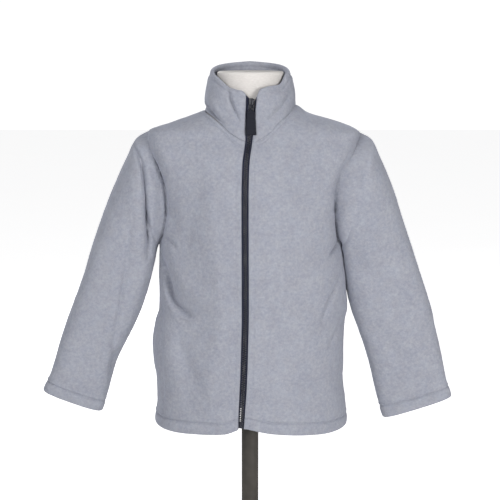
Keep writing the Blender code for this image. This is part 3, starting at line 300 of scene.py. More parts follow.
jersey = Finish("form_jersey", Roughness=0.85, Specular_IOR_Level=0.25, Sheen_Weight=0.15)
wale = jersey.noise(0.0011, 1.0, stretch=(0.25, 0.25, 1.0))
cloudy = jersey.noise(0.03, 2.0)
jersey_shade = jersey.ramp(0.65 * wale + 0.35 * cloudy, (0.35, 0.0), (0.65, 1.0))
jersey.feed("Base Color", jersey.blend(jersey_shade, (0.62, 0.595, 0.565, 1), (0.69, 0.665, 0.635, 1)))
jersey.bump(wale, 0.35, 0.0003)

torso = piece_object("jersey_torso", torso_points.reshape(-1, 3), torso_faces, jersey)
torso.data.set_sharp_from_angle(angle=math.radians(50))
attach(torso, "root")
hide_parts("form_torso")

cap_paint = Finish("neck_cap_paint", Specular_IOR_Level=0.4)
brushing = cap_paint.noise(0.004, 3.0, stretch=(1, 1, 4))
cap_paint.feed("Base Color", cap_paint.blend(brushing, (0.68, 0.655, 0.625, 1), (0.74, 0.715, 0.685, 1)))
cap_paint.feed("Roughness", 0.4 + 0.2 * brushing)
cap_paint.bump(brushing, 0.2, 0.0002)
frame["nodes"]["form_neck_cap"].material_slots[0].material = cap_paint.material

dark_paint = Finish("stand_paint", Specular_IOR_Level=0.4)
grain = dark_paint.noise(0.0009, 2.0)
worn = dark_paint.noise(0.02, 3.0)
worn_shade = dark_paint.ramp(worn, (0.4, 0.0), (0.7, 1.0))
dark_paint.feed("Base Color", dark_paint.blend(worn_shade, (0.050, 0.045, 0.038, 1), (0.075, 0.067, 0.057, 1)))
dark_paint.feed("Roughness", 0.38 + 0.2 * grain)
dark_paint.bump(grain, 0.25, 0.0002)
for name in ("form_flange", "form_pole", "form_base"):
    frame["nodes"][name].material_slots[0].material = dark_paint.material

# ---------------------------------------------------------------------------------------------
# The fronts and the back: brushed knitted fleece, 2.5 millimetres thick, cut to shape and
# overlocked together at the sides and shoulders. The bottom edge is turned in and topstitched.
# ---------------------------------------------------------------------------------------------
RIGHT = -1  # the wearer's right, at -X
LEFT = 1
FRONT = -1
BACK = 1
CLOTH = 0.0025
HEM_CLOTH = 0.0050
HEM_STITCH = 0.0160
HEM_STEPS = np.array((0.0, 0.3, 0.8, 1.4, 2.1, 3.0, 4.5, 6.0, 7.5, 9.0, 10.5, 12.0, 13.5, 14.6, 15.3, 16.0, 16.7,
                      17.6, 19.0)) / 1000
HEM_TRIM = 0.0125  # the hem's inner layer stops this far from the zip
SEAM_BITE = 0.0004  # how far two sewn edges press into each other
BODY_COLUMNS = ("height", "right_half", "left_half", "front", "back", "squareness")
BODY_SECTIONS = (
    (0.2500, 0.1400, 0.1435, 0.1000, 0.0905, 2.35),
    (0.2700, 0.1400, 0.1430, 0.1000, 0.0905, 2.35),
    (0.3000, 0.1372, 0.1408, 0.1000, 0.0905, 2.35),
    (0.3350, 0.1380, 0.1370, 0.0995, 0.0900, 2.30),
    (0.3560, 0.1412, 0.1380, 0.0992, 0.0898, 2.30),
    (0.3850, 0.1432, 0.1378, 0.0990, 0.0895, 2.30),
    (0.4170, 0.1385, 0.1392, 0.0985, 0.0890, 2.25),
    (0.4360, 0.1328, 0.1423, 0.0985, 0.0890, 2.25),
    (0.4560, 0.1322, 0.1412, 0.0985, 0.0890, 2.25),
    (0.4800, 0.1330, 0.1402, 0.0988, 0.0890, 2.20),
    (0.5300, 0.1320, 0.1362, 0.0988, 0.0892, 2.20),
    (0.5800, 0.1365, 0.1385, 0.0970, 0.0890, 2.15),
    (0.6200, 0.1400, 0.1450, 0.0925, 0.0875, 2.10),
    (0.6500, 0.1425, 0.1495, 0.0850, 0.0855, 2.20),
    (0.6700, 0.1440, 0.1530, 0.0770, 0.0830, 2.25),
    (0.6840, 0.1450, 0.1560, 0.0690, 0.0795, 2.25),
    (0.6915, 0.1452, 0.1578, 0.0655, 0.0775, 2.25),
    (0.6960, 0.1432, 0.1535, 0.0628, 0.0760, 2.20),
    (0.7043, 0.1185, 0.1352, 0.0590, 0.0735, 2.10),
    (0.7085, 0.1065, 0.1222, 0.0570, 0.0720, 2.00),
    (0.7205, 0.0720, 0.0825, 0.0500, 0.0665, 2.00),
    (0.7290, 0.0545, 0.0705, 0.0440, 0.0600, 2.00),
    (0.7360, 0.0460, 0.0560, 0.0400, 0.0545, 2.00),
)
TIP_HEIGHT = {RIGHT: 0.6950, LEFT: 0.6925}
UNDERARM_HEIGHT = {RIGHT: 0.5300, LEFT: 0.5275}
SIDE_SEAM_FORWARD = 0.085
ARMHOLE_COLUMNS = ("along", "rise", "front_round", "back_round")
ARMHOLE = (
    (0.00, 0.000, 1.000, 1.000),
    (0.12, 0.030, 0.900, 0.915),
    (0.25, 0.120, 0.800, 0.845),
    (0.40, 0.300, 0.735, 0.800),
    (0.55, 0.500, 0.728, 0.795),
    (0.70, 0.700, 0.775, 0.825),
    (0.85, 0.875, 0.875, 0.900),
    (1.00, 1.000, 1.000, 1.000),
)
HEM_COLUMNS = ("round", "right_height", "left_height")
FRONT_HEM = (
    (-0.004, 0.2785, 0.2785),
    (0.012, 0.2780, 0.2742),
    (0.036, 0.2700, 0.2700),
    (0.086, 0.2668, 0.2655),
    (0.125, 0.2652, 0.2635),
    (0.180, 0.2648, 0.2640),
)
BACK_HEM_HEIGHT = 0.2570
NECK_HALF_WIDTH = 0.0655
NECK_FRONT = 0.0690
NECK_BACK = 0.0550
NECK_LOWEST = 0.6400
NECK_HIGHEST = 0.7360
ZIP_AT_NECK = 0.6840
ZIP_COLUMNS = ("height", "offset", "half_opening")
ZIP_LINE = (
    (0.2700, -0.0132, 0.0036),
    (0.2985, -0.0118, 0.0045),
    (0.3450, -0.0092, 0.0050),
    (0.3900, -0.0077, 0.0050),
    (0.4480, -0.0066, 0.0050),
    (0.6060, -0.0069, 0.0050),
    (0.6500, -0.0060, 0.0050),
    (0.6820, -0.0020, 0.0050),
    (0.7020, 0.0010, 0.0051),
    (0.7300, 0.0019, 0.0054),
    (0.7420, 0.0021, 0.0062),
    (0.7500, 0.0024, 0.0085),
)
ZIP_FOOT_HEIGHT = 0.2785

# Folds: a trough (height below 0) or ridge along a curve through points of x and z, with its half
# width on the left of its way and on the right, and how far the cloth there is pinched together.
BODY_FOLDS = (
    (FRONT, -0.0160, 0.0060, 0.0044, 0.7, ((-0.1270, 0.510), (-0.1235, 0.492), (-0.1190, 0.474), (-0.1130, 0.456),
                                           (-0.1040, 0.446), (-0.0850, 0.436))),
    (FRONT, -0.0040, 0.0120, 0.0080, 0.0, ((-0.127, 0.512), (-0.114, 0.480), (-0.103, 0.458), (-0.080, 0.442))),
    (FRONT, -0.0028, 0.0030, 0.0030, 0.5, ((-0.1268, 0.452), (-0.1272, 0.420), (-0.1272, 0.380), (-0.1262, 0.330),
                                           (-0.1255, 0.285))),
    (FRONT, 0.0030, 0.0070, 0.0090, 0.0, ((-0.126, 0.466), (-0.112, 0.447), (-0.092, 0.432), (-0.070, 0.430))),
    (FRONT, -0.0026, 0.0060, 0.0040, 0.4, ((-0.108, 0.437), (-0.096, 0.428), (-0.080, 0.424))),
    (FRONT, 0.0030, 0.0150, 0.0130, 0.0, ((-0.100, 0.500), (-0.088, 0.478), (-0.070, 0.462))),
    (FRONT, -0.0045, 0.0038, 0.0038, 0.6, ((-0.1230, 0.5440), (-0.1150, 0.5385), (-0.1050, 0.5310))),
    (FRONT, -0.0080, 0.0042, 0.0036, 0.7, ((-0.1400, 0.6600), (-0.1310, 0.6440), (-0.1240, 0.6230), (-0.1209, 0.6030),
                                      (-0.1210, 0.5850), (-0.1250, 0.5650), (-0.1290, 0.5480), (-0.1310, 0.5360))),
    (FRONT, -0.0030, 0.0100, 0.0090, 0.0, ((-0.119, 0.612), (-0.114, 0.590), (-0.112, 0.565), (-0.118, 0.540))),
    (FRONT, 0.0050, 0.0210, 0.0170, 0.0, ((-0.134, 0.690), (-0.121, 0.668), (-0.112, 0.645), (-0.107, 0.620))),
    (FRONT, 0.0060, 0.0140, 0.0150, 0.0, ((-0.146, 0.700), (-0.138, 0.686), (-0.128, 0.668), (-0.122, 0.650))),
    (FRONT, -0.0022, 0.0140, 0.0140, 0.0, ((-0.108, 0.580), (-0.098, 0.550), (-0.095, 0.520))),
    (FRONT, -0.0022, 0.0090, 0.0090, 0.0, ((-0.105, 0.420), (-0.094, 0.380), (-0.078, 0.345), (-0.064, 0.318))),
    (FRONT, 0.0020, 0.0120, 0.0160, 0.0, ((-0.120, 0.400), (-0.112, 0.360), (-0.098, 0.320), (-0.092, 0.290))),
    (FRONT, -0.0016, 0.0110, 0.0110, 0.0, ((-0.070, 0.600), (-0.082, 0.570), (-0.088, 0.540))),
    (FRONT, -0.0045, 0.0040, 0.0050, 0.6, ((0.134, 0.500), (0.128, 0.486), (0.121, 0.471), (0.112, 0.452),
                                           (0.102, 0.428))),
    (FRONT, -0.0030, 0.0050, 0.0050, 0.6, ((0.137, 0.428), (0.129, 0.414), (0.121, 0.404), (0.112, 0.386))),
    (FRONT, -0.0065, 0.0036, 0.0036, 0.6, ((0.1290, 0.5380), (0.1215, 0.5300), (0.1130, 0.5210))),
    (FRONT, -0.0090, 0.0040, 0.0046, 0.7, ((0.1380, 0.6580), (0.1290, 0.6400), (0.1240, 0.6200), (0.1228, 0.6030),
                                      (0.1250, 0.5850), (0.1280, 0.5640), (0.1290, 0.5440), (0.1285, 0.5280))),
    (FRONT, -0.0036, 0.0080, 0.0080, 0.0, ((0.120, 0.605), (0.122, 0.580), (0.126, 0.550), (0.127, 0.520))),
    (FRONT, 0.0030, 0.0200, 0.0160, 0.0, ((0.140, 0.685), (0.124, 0.662), (0.112, 0.640), (0.104, 0.615))),
    (FRONT, 0.0040, 0.0150, 0.0140, 0.0, ((0.154, 0.700), (0.145, 0.684), (0.134, 0.665), (0.126, 0.645))),
    (FRONT, -0.0016, 0.0200, 0.0200, 0.0, ((0.060, 0.560), (0.075, 0.470), (0.070, 0.380))),
    (FRONT, -0.0014, 0.0120, 0.0120, 0.0, ((0.040, 0.640), (0.075, 0.612), (0.108, 0.600))),
    (FRONT, -0.0012, 0.0120, 0.0120, 0.0, ((-0.040, 0.650), (-0.065, 0.632), (-0.090, 0.620))),
    (BACK, -0.0060, 0.0110, 0.0080, 0.0, ((-0.118, 0.505), (-0.085, 0.455), (-0.045, 0.425))),
    (BACK, -0.0065, 0.0080, 0.0110, 0.0, ((0.120, 0.500), (0.090, 0.452), (0.050, 0.415))),
    (BACK, -0.0035, 0.0160, 0.0160, 0.0, ((-0.070, 0.640), (0.000, 0.625), (0.065, 0.643))),
    (BACK, 0.0035, 0.0180, 0.0180, 0.0, ((-0.130, 0.380), (-0.080, 0.350), (-0.030, 0.345))),
    (BACK, -0.0040, 0.0070, 0.0090, 0.0, ((0.125, 0.430), (0.100, 0.395), (0.072, 0.372))),
    (BACK, -0.0035, 0.0090, 0.0070, 0.0, ((-0.124, 0.455), (-0.105, 0.430), (-0.088, 0.398))),
    (BACK, -0.0040, 0.0050, 0.0050, 0.6, ((-0.122, 0.640), (-0.114, 0.600), (-0.120, 0.560), (-0.131, 0.535))),
    (BACK, -0.0040, 0.0050, 0.0050, 0.6, ((0.126, 0.640), (0.116, 0.600), (0.121, 0.560), (0.132, 0.533))),
    (BACK, -0.0020, 0.0220, 0.0220, 0.0, ((-0.030, 0.560), (-0.022, 0.480), (-0.030, 0.390))),
    (BACK, -0.0018, 0.0180, 0.0180, 0.0, ((0.045, 0.580), (0.038, 0.500), (0.052, 0.430))),
)
# Bends: beside a curve the cloth falls away, towards the wearer's right at -1 and left at 1.
BODY_BENDS = (
    (FRONT, RIGHT, -0.0180, 0.040, ((-0.052, 0.665), (-0.056, 0.620), (-0.050, 0.570), (-0.044, 0.500),
                                    (-0.0415, 0.440), (-0.0450, 0.390), (-0.0580, 0.345), (-0.0530, 0.300),
                                    (-0.0480, 0.262))),
    (FRONT, LEFT, -0.0030, 0.030, ((0.088, 0.600), (0.085, 0.520), (0.090, 0.430), (0.088, 0.330))),
    (BACK, LEFT, -0.0060, 0.040, ((0.030, 0.640), (0.042, 0.560), (0.036, 0.460), (0.050, 0.360), (0.046, 0.270))),
    (BACK, RIGHT, -0.0040, 0.040, ((-0.045, 0.620), (-0.052, 0.540), (-0.060, 0.440), (-0.052, 0.330))),
)
FOLD_STEPS = 61
FOLD_END_SHARE = 0.04
FOLD_FADE = 0.7
FOLD_SHARPNESS = 3.5
FOLD_FACING = 1.5  # how far a fold is pushed in from its face rather than along its cloth's normal
BEND_ROUNDING = 0.0050
BEND_ROOM = 0.15  # points further than this from a bend are left out
BEND_SIDES = (0.080, 0.128)  # where a bend lessens again towards the side
BEND_LESSENED = 0.65  # by this share of its height
FOLD_ROOM = 3  # a fold is left out beyond this many of its half widths
FOLD_DRAWN = 1.6  # how far out from a fold its cloth is drawn in, in half widths

# Mesh density; each is a whole number of INNER_STEP, as the inner face is that much coarser
INNER_STEP = 3
SIDE_ROWS = 165
ARMHOLE_ROWS = 120
NECK_FRONT_COLUMNS = 63
NECK_BACK_COLUMNS = 90
SHOULDER_COLUMNS = 54
RING_SAMPLES = 181
POINTS_AT_ONCE = 8192
HALVINGS = 40


def body_value(name, height):
    """A size of the jacket's body at a height."""
    return smooth_curve(column(BODY_SECTIONS, BODY_COLUMNS, "height"),
                        column(BODY_SECTIONS, BODY_COLUMNS, name), height)


def half_width(side, height):
    return np.where(side < 0, body_value("right_half", height), body_value("left_half", height))


def body_depth(face, height):
    return np.where(face < 0, body_value("front", height), body_value("back", height))


def half_rings(side, height):
    """Half of each section, from the middle of the front to the middle of the back: x, y and travel."""
    turn = np.linspace(0, math.pi, 2 * RING_SAMPLES - 1)
    power = 2 / body_value("squareness", height)[:, None]
    x = half_width(side, height)[:, None] * np.abs(np.sin(turn)) ** power
    x[:, 0] = 0
    x[:, -1] = 0
    deep = np.where(turn < math.pi / 2, body_value("front", height)[:, None], body_value("back", height)[:, None])
    y = -np.sign(np.cos(turn)) * deep * np.abs(np.cos(turn)) ** power
    y[:, RING_SAMPLES - 1] = 0
    travel = np.cumsum(np.hypot(np.diff(x, axis=1), np.diff(y, axis=1)), axis=1)
    travel = np.hstack([np.zeros((len(travel), 1)), travel])
    return x, y, travel


def quarter_length(side, height, face):
    """Distance round from the middle of a face to the side."""
    travel = half_rings(np.full(len(height), side), height)[2]
    if face == FRONT:
        return travel[:, RING_SAMPLES - 1]
    return travel[:, -1] - travel[:, RING_SAMPLES - 1]


def round_of_x(x, height, face):
    """Distance round, from the middle of a face, of the surface point at x."""
    across, _, travel = half_rings(np.sign(x), height)
    result = np.zeros(len(x))
    for i in range(len(x)):
        if face == FRONT:
            quarter = slice(0, RING_SAMPLES)
            result[i] = np.interp(abs(x[i]), across[i, quarter], travel[i, quarter])
        else:
            quarter = slice(RING_SAMPLES - 1, None)
            result[i] = travel[i, -1] - np.interp(-abs(x[i]), -across[i, quarter], travel[i, quarter])
    return result * np.sign(x)


def surface_normal(points):
    """Outward normal of the plain body surface at points on it."""
    x, y, z = points.T
    side = np.where(x < 0, RIGHT, LEFT)
    face = np.where(y < 0, FRONT, BACK)
    step = 0.001
    wide = half_width(side, z)
    deep = body_depth(face, z)
    widening = (half_width(side, z + step) - half_width(side, z - step)) / (2 * step)
    deepening = (body_depth(face, z + step) - body_depth(face, z - step)) / (2 * step)
    power = body_value("squareness", z)
    share_x = np.abs(x) / wide
    share_y = np.abs(y) / deep
    down = -(share_x ** power) * widening / wide - share_y ** power * deepening / deep
    across = np.sign(x) * share_x ** (power - 1) / wide
    ahead = np.sign(y) * share_y ** (power - 1) / deep
    return unit(np.stack([across, ahead, down], axis=1))


def beside_curve(places, points, room):
    """Points near a curve: which they are, their distance to the left of its way, that way and its fade."""
    knots = np.array(places)
    travel = np.concatenate([[0], np.cumsum(np.hypot(*np.diff(knots, axis=0).T))])
    along = np.linspace(0, 1, FOLD_STEPS)
    path = smooth_curve(travel / travel[-1], knots, along)
    fade = np.sin(math.pi * (FOLD_END_SHARE + (1 - 2 * FOLD_END_SHARE) * along)) ** FOLD_FADE
    flat = points[:, ::2]
    spots = np.nonzero(((flat > path.min(axis=0) - room) & (flat < path.max(axis=0) + room)).all(axis=1))[0]
    if not len(spots):
        return spots, np.zeros(0), np.zeros((0, 2)), np.zeros(0)
    off = flat[spots, None] - path
    apart = np.hypot(off[..., 0], off[..., 1])
    nearest = apart.argmin(axis=1)
    off = off[np.arange(len(spots)), nearest]
    way = unit(np.gradient(path, axis=0))[nearest]
    aside = np.sign(way[:, 0] * off[:, 1] - way[:, 1] * off[:, 0]) * apart.min(axis=1)
    return spots, aside, way, fade[nearest]


def fold_shift(folds, points, normals):
    """How far the folds move each point."""
    shift = np.zeros_like(points)
    for face, high, left_half, right_half, pinch, places in folds:
        spots, aside, way, fade = beside_curve(places, points, FOLD_ROOM * max(left_half, right_half))
        normal = normals[spots]
        amount = (np.clip(normal[:, 1] * face * FOLD_SHARPNESS, 0, 1) * fade)[:, None]
        half = np.where(aside > 0, left_half, right_half)
        shape = high * np.exp(-((aside / half) ** 2))
        drawn = aside * pinch * np.exp(-((aside / (FOLD_DRAWN * half)) ** 2))
        slide = np.stack([way[:, 1] * drawn, 0 * drawn, -way[:, 0] * drawn], axis=1)
        slide = slide - normal * (slide * normal).sum(axis=1, keepdims=True)
        push = unit(normal + np.array((0, face * FOLD_FACING, 0)))
        shift[spots] += (push * shape[:, None] + slide) * amount
    return shift


def bend_height(bends, points, facing):
    """How far the bends lift each point."""
    lift = np.zeros(len(points))
    for face, way, high, length, places in bends:
        spots, aside = beside_curve(places, points, BEND_ROOM)[:2]
        heights = [place[1] for place in places]
        level = (points[spots, 2] - min(heights)) / (max(heights) - min(heights))
        fade = np.sin(math.pi * np.clip(level, 0, 1)) ** 0.5
        beyond = np.clip(aside * way * np.sign(places[0][1] - places[-1][1]), 0, None)
        rounded = np.sqrt(beyond ** 2 + BEND_ROUNDING ** 2) - BEND_ROUNDING
        sides = np.clip((np.abs(points[spots, 0]) - BEND_SIDES[0]) / (BEND_SIDES[1] - BEND_SIDES[0]), 0, 1)
        shape = high * (1 - np.exp(-rounded / length)) * (1 - BEND_LESSENED * sides * sides * (3 - 2 * sides))
        lift[spots] += shape * np.clip(facing[spots] * face * FOLD_SHARPNESS, 0, 1) * fade
    return lift


def lumps(points, size, seed):
    """Smooth random values from -1 to 1 over points, with lumps of a size in metres."""
    cell = points / size
    low = np.floor(cell).astype(np.int64)
    part = cell - low
    part = part * part * (3 - 2 * part)
    total = np.zeros(points.shape[:-1])
    for corner in np.ndindex(2, 2, 2):
        spot = low + corner
        mixed = (spot[..., 0] * 73856093) ^ (spot[..., 1] * 19349663) ^ (spot[..., 2] * 83492791) ^ (seed * 7919)
        mixed = (mixed ^ (mixed >> 11)) * 1274126177
        mixed = (mixed ^ (mixed >> 15)) & 0xFFFFF
        share = np.prod(np.where(corner, part, 1 - part), axis=-1)
        total += (mixed / 0x80000 - 1) * share
    return total


def body_points(around, height, face):
    """Points of the jacket's body, at signed distances round from the middle of a face."""
    points = np.zeros((len(around), 3))
    for start in range(0, len(around), POINTS_AT_ONCE):
        part = slice(start, start + POINTS_AT_ONCE)
        x, y, travel = half_rings(np.where(around[part] < 0, RIGHT, LEFT), height[part])
        wanted = np.abs(around[part]) if face == FRONT else travel[:, -1] - np.abs(around[part])
        cell = np.clip((travel < wanted[:, None]).sum(axis=1) - 1, 0, travel.shape[1] - 2)
        rows = np.arange(len(cell))
        share = (wanted - travel[rows, cell]) / (travel[rows, cell + 1] - travel[rows, cell])
        across = x[rows, cell] + share * (x[rows, cell + 1] - x[rows, cell])
        points[part, 0] = across * np.where(around[part] < 0, RIGHT, LEFT)
        points[part, 1] = y[rows, cell] + share * (y[rows, cell + 1] - y[rows, cell])
    points[:, 2] = height
    normal = surface_normal(points)
    bent = np.array((0, face, 0)) * bend_height(BODY_BENDS, points, normal[:, 1])[:, None]
    return points + bent + fold_shift(BODY_FOLDS, points, normal)


def zip_value(name, height):
    return smooth_curve(column(ZIP_LINE, ZIP_COLUMNS, "height"), column(ZIP_LINE, ZIP_COLUMNS, name), height)


def hem_rows(start, end, count):
    """Heights from a hem up to an edge's end, with the hem's own rows first."""
    first = start + HEM_STEPS
    return np.concatenate([first[:-1], np.linspace(first[-1], end, count + 1)])


def side_seam(side):
    """The side seam, as heights and distances round from the middle of the front."""
    foot = column(FRONT_HEM, HEM_COLUMNS, "right_height" if side == RIGHT else "left_height")[-1]
    height = hem_rows(foot, UNDERARM_HEIGHT[side], SIDE_ROWS)
    rise = (height - foot) / (UNDERARM_HEIGHT[side] - foot)
    share = 1 - SIDE_SEAM_FORWARD * (1 - rise ** 3)
    return height, share * quarter_length(side, height, FRONT)


def armhole(side, face):
    """The armhole from the underarm to the shoulder tip, as heights and distances round."""
    along = np.linspace(0, 1, ARMHOLE_ROWS + 1)
    knots = column(ARMHOLE, ARMHOLE_COLUMNS, "along")
    rise = smooth_curve(knots, column(ARMHOLE, ARMHOLE_COLUMNS, "rise"), along)
    name = "front_round" if face == FRONT else "back_round"
    share = smooth_curve(knots, column(ARMHOLE, ARMHOLE_COLUMNS, name), along)
    height = UNDERARM_HEIGHT[side] + rise * (TIP_HEIGHT[side] - UNDERARM_HEIGHT[side])
    return height, share * quarter_length(side, height, face)


def on_surface_height(x, y):
    """Height at which the body surface passes through each x, y near the neck."""
    side = np.where(x < 0, RIGHT, LEFT)
    face = np.where(y < 0, FRONT, BACK)
    low = np.full(len(x), NECK_LOWEST)
    high = np.full(len(x), NECK_HIGHEST)
    for _ in range(HALVINGS):
        middle = (low + high) / 2
        power = body_value("squareness", middle)
        share = (np.abs(x) / half_width(side, middle)) ** power
        share = share + (np.abs(y) / body_depth(face, middle)) ** power
        low = np.where(share < 1, middle, low)
        high = np.where(share < 1, high, middle)
    return low


def neckline(side, face, count):
    """The neckline from the middle of a face to the shoulder, as heights and distances round."""
    deep = NECK_FRONT if face == FRONT else NECK_BACK
    start = 0.0
    if face == FRONT:
        edge = zip_value("offset", ZIP_AT_NECK) + side * zip_value("half_opening", ZIP_AT_NECK)
        start = math.asin(side * edge / NECK_HALF_WIDTH)
    turn = np.linspace(start, math.pi / 2, count + 1)
    x = side * NECK_HALF_WIDTH * np.sin(turn)
    height = on_surface_height(x, face * deep * np.cos(turn))
    return height, round_of_x(x, height, face)


def shoulder(side, face):
    """The shoulder seam from the neck to the tip, as heights and distances round."""
    neck = on_surface_height(np.array([side * NECK_HALF_WIDTH]), np.array([0.0]))[0]
    height = np.linspace(neck, TIP_HEIGHT[side], SHOULDER_COLUMNS + 1)
    return height, side * quarter_length(side, height, face)


def shares(edge_a, edge_b):
    """Mean share of the way along two matching edges, at each of their points."""
    result = []
    for edge in (edge_a, edge_b):
        travel = np.cumsum(np.linalg.norm(np.diff(edge, axis=0), axis=1))
        result.append(np.concatenate([[0], travel / travel[-1]]))
    return (result[0] + result[1]) / 2


def fill_between(bottom, top, left, right):
    """Grid of flat points between four edges that share their corners."""
    u = shares(bottom, top)[None, :, None]
    v = shares(left, right)[:, None, None]
    ruled = (1 - v) * bottom[None] + v * top[None] + (1 - u) * left[:, None] + u * right[:, None]
    return ruled - (1 - v) * ((1 - u) * bottom[0] + u * bottom[-1]) - v * ((1 - u) * top[0] + u * top[-1])


def grid_normals(points, closed=False):
    """Unit normals of a grid of points; columns run round when closed."""
    across = np.roll(points, -1, axis=1) - np.roll(points, 1, axis=1) if closed else np.gradient(points, axis=1)
    return unit(np.cross(across, np.gradient(points, axis=0)))


def reach(points, axis, last=False):
    """Distance over the cloth from a grid's first or last row (axis 0) or column (axis 1)."""
    step = np.linalg.norm(np.diff(points, axis=axis), axis=-1)
    travel = np.concatenate([np.zeros_like(step.take([0], axis)), np.cumsum(step, axis)], axis)
    return travel.take([-1], axis) - travel if last else travel


def rolled(distance, radius, depth):
    """How far the face of a cut or turned edge drops, at distances in from it."""
    inside = np.clip(1 - distance / radius, 0, 1)
    return depth * (1 - np.sqrt(1 - inside ** 2))


def groove(distance, half, depth):
    """How far a sewn line pulls the face in, at distances from it."""
    return depth * np.exp(-((distance / half) ** 2))


def panel(flat, face):
    """A panel of the body from its flat grid: outer points, normals and thickness."""
    rows, columns = flat.shape[:2]
    points = body_points(flat[..., 0].ravel(), flat[..., 1].ravel(), face).reshape(rows, columns, 3)
    normal = grid_normals(points)
    outward = surface_normal(points.reshape(-1, 3)).reshape(points.shape)
    if (normal * outward).sum() < 0:
        normal = -normal
    up_hem = np.full(rows, 1.0)
    up_hem[:len(HEM_STEPS)] = HEM_STEPS
    thick = np.interp(up_hem, (HEM_STITCH, HEM_STEPS[-1]), (HEM_CLOTH, CLOTH))[:, None] * np.ones(columns)
    return {"outer": points, "normal": normal, "thick": thick, "up_hem": up_hem[:, None] * np.ones(columns)}


def front_panel(side):
    """A front: centre edge, hem, side seam with armhole, neckline with shoulder."""
    neck_height, neck_round = neckline(side, FRONT, NECK_FRONT_COLUMNS)
    tip_height, tip_round = shoulder(side, FRONT)
    top = np.stack([np.append(neck_round, tip_round[1:]), np.append(neck_height, tip_height[1:])], axis=1)
    side_height, side_round = side_seam(side)
    arm_height, arm_round = armhole(side, FRONT)
    outside = np.stack(
        [side * np.append(side_round, arm_round[1:]), np.append(side_height, arm_height[1:])], axis=1)
    outside[-1] = top[-1]
    height = hem_rows(ZIP_FOOT_HEIGHT, top[0, 1], SIDE_ROWS + ARMHOLE_ROWS)
    centre = np.stack([zip_value("offset", height) + side * zip_value("half_opening", height), height], axis=1)
    centre[-1] = top[0]
    around = np.linspace(centre[0, 0], outside[0, 0], len(top))
    name = "right_height" if side == RIGHT else "left_height"
    hem = smooth_curve(column(FRONT_HEM, HEM_COLUMNS, "round"), column(FRONT_HEM, HEM_COLUMNS, name), side * around)
    bottom = np.stack([around, hem], axis=1)
    bottom[0] = centre[0]
    bottom[-1] = outside[0]
    piece = panel(fill_between(bottom, top, centre, outside), FRONT)
    from_zip = reach(piece["outer"], 1)
    piece["thick"] = np.where(from_zip < HEM_TRIM, CLOTH, piece["thick"])
    return piece


def back_panel():
    """The back: side seams with armholes, hem, shoulders and neckline."""
    edges = {}
    tops = {}
    for side in (RIGHT, LEFT):
        side_height, side_round = side_seam(side)
        whole = half_rings(np.full(len(side_height), side), side_height)[2][:, -1]
        arm_height, arm_round = armhole(side, BACK)
        around = np.append(whole - side_round, arm_round[1:])
        edges[side] = np.stack([side * around, np.append(side_height, arm_height[1:])], axis=1)
        neck_height, neck_round = neckline(side, BACK, NECK_BACK_COLUMNS // 2)
        tip_height, tip_round = shoulder(side, BACK)
        tops[side] = np.stack(
            [np.append(neck_round, tip_round[1:]), np.append(neck_height, tip_height[1:])], axis=1)
        edges[side][-1] = tops[side][-1]
    top = np.concatenate([tops[RIGHT][::-1], tops[LEFT][1:]])
    around = np.linspace(edges[RIGHT][0, 0], edges[LEFT][0, 0], len(top))
    middle = 1 - np.linspace(-1, 1, len(top)) ** 2
    level = np.linspace(edges[RIGHT][0, 1], edges[LEFT][0, 1], len(top))
    bottom = np.stack([around, level + (BACK_HEM_HEIGHT - level) * middle], axis=1)
    return panel(fill_between(bottom, top, edges[RIGHT], edges[LEFT]), BACK)


def press_edge(piece, edge, inside):
    """Press a border of a piece into what it is sewn to, away from the points next to it."""
    piece["shift"][edge] += unit(piece["plain"][edge] - piece["plain"][inside]) * SEAM_BITE / 2


def ready_to_join(piece):
    piece["plain"] = piece["outer"].copy()
    piece["shift"] = np.zeros_like(piece["outer"])
    return piece


fronts = {side: ready_to_join(front_panel(side)) for side in (RIGHT, LEFT)}
back = ready_to_join(back_panel())
UNDERARM = SIDE_ROWS + len(HEM_STEPS) - 1
TOP = UNDERARM + ARMHOLE_ROWS
SHOULDER_END = NECK_FRONT_COLUMNS + SHOULDER_COLUMNS
BACK_LAST = 2 * SHOULDER_COLUMNS + NECK_BACK_COLUMNS
border_rows = np.arange(TOP + 1)
for side in (RIGHT, LEFT):
    press_edge(fronts[side], (border_rows, SHOULDER_END), (border_rows, SHOULDER_END - 1))
    border_cols = np.arange(SHOULDER_END + 1)
    press_edge(fronts[side], (TOP, border_cols), (TOP - 1, border_cols))
border_cols = np.arange(BACK_LAST + 1)
press_edge(back, (border_rows, 0), (border_rows, 1))
press_edge(back, (border_rows, BACK_LAST), (border_rows, BACK_LAST - 1))
press_edge(back, (TOP, border_cols), (TOP - 1, border_cols))

# Fleece: pale and darker blue-grey fibres brushed into one nap, matt, with a soft bloom at grazing light
fleece = Finish("brushed_fleece", Roughness=0.95, Specular_IOR_Level=0.12, Sheen_Weight=0.35, Sheen_Roughness=0.55)
fleece.shader.inputs["Sheen Tint"].default_value = (0.80, 0.84, 1.0, 1)
marl = fleece.noise(0.0052, 3.0, 0.62)
streak = fleece.noise(0.0030, 2.0, 0.5, stretch=(0.85, 0.85, 1.0))
fibre = fleece.noise(0.0011, 2.0, 0.6)
cloud = fleece.noise(0.030, 3.0)
tone = fleece.ramp(0.34 * marl + 0.26 * streak + 0.22 * fibre + 0.18 * cloud, (0.36, 0.0), (0.64, 1.0))
blue = fleece.ramp(fleece.noise(0.012, 2.0), (0.35, 0.0), (0.65, 1.0))
dark_fibre = fleece.blend(blue, (0.258, 0.266, 0.309, 1), (0.250, 0.264, 0.314, 1))
pale_fibre = fleece.blend(blue, (0.372, 0.385, 0.424, 1), (0.363, 0.381, 0.431, 1))
fleece.feed("Base Color", fleece.blend(tone, dark_fibre, pale_fibre))
fleece.bump(0.55 * fibre + 0.45 * marl, 0.55, 0.0011)

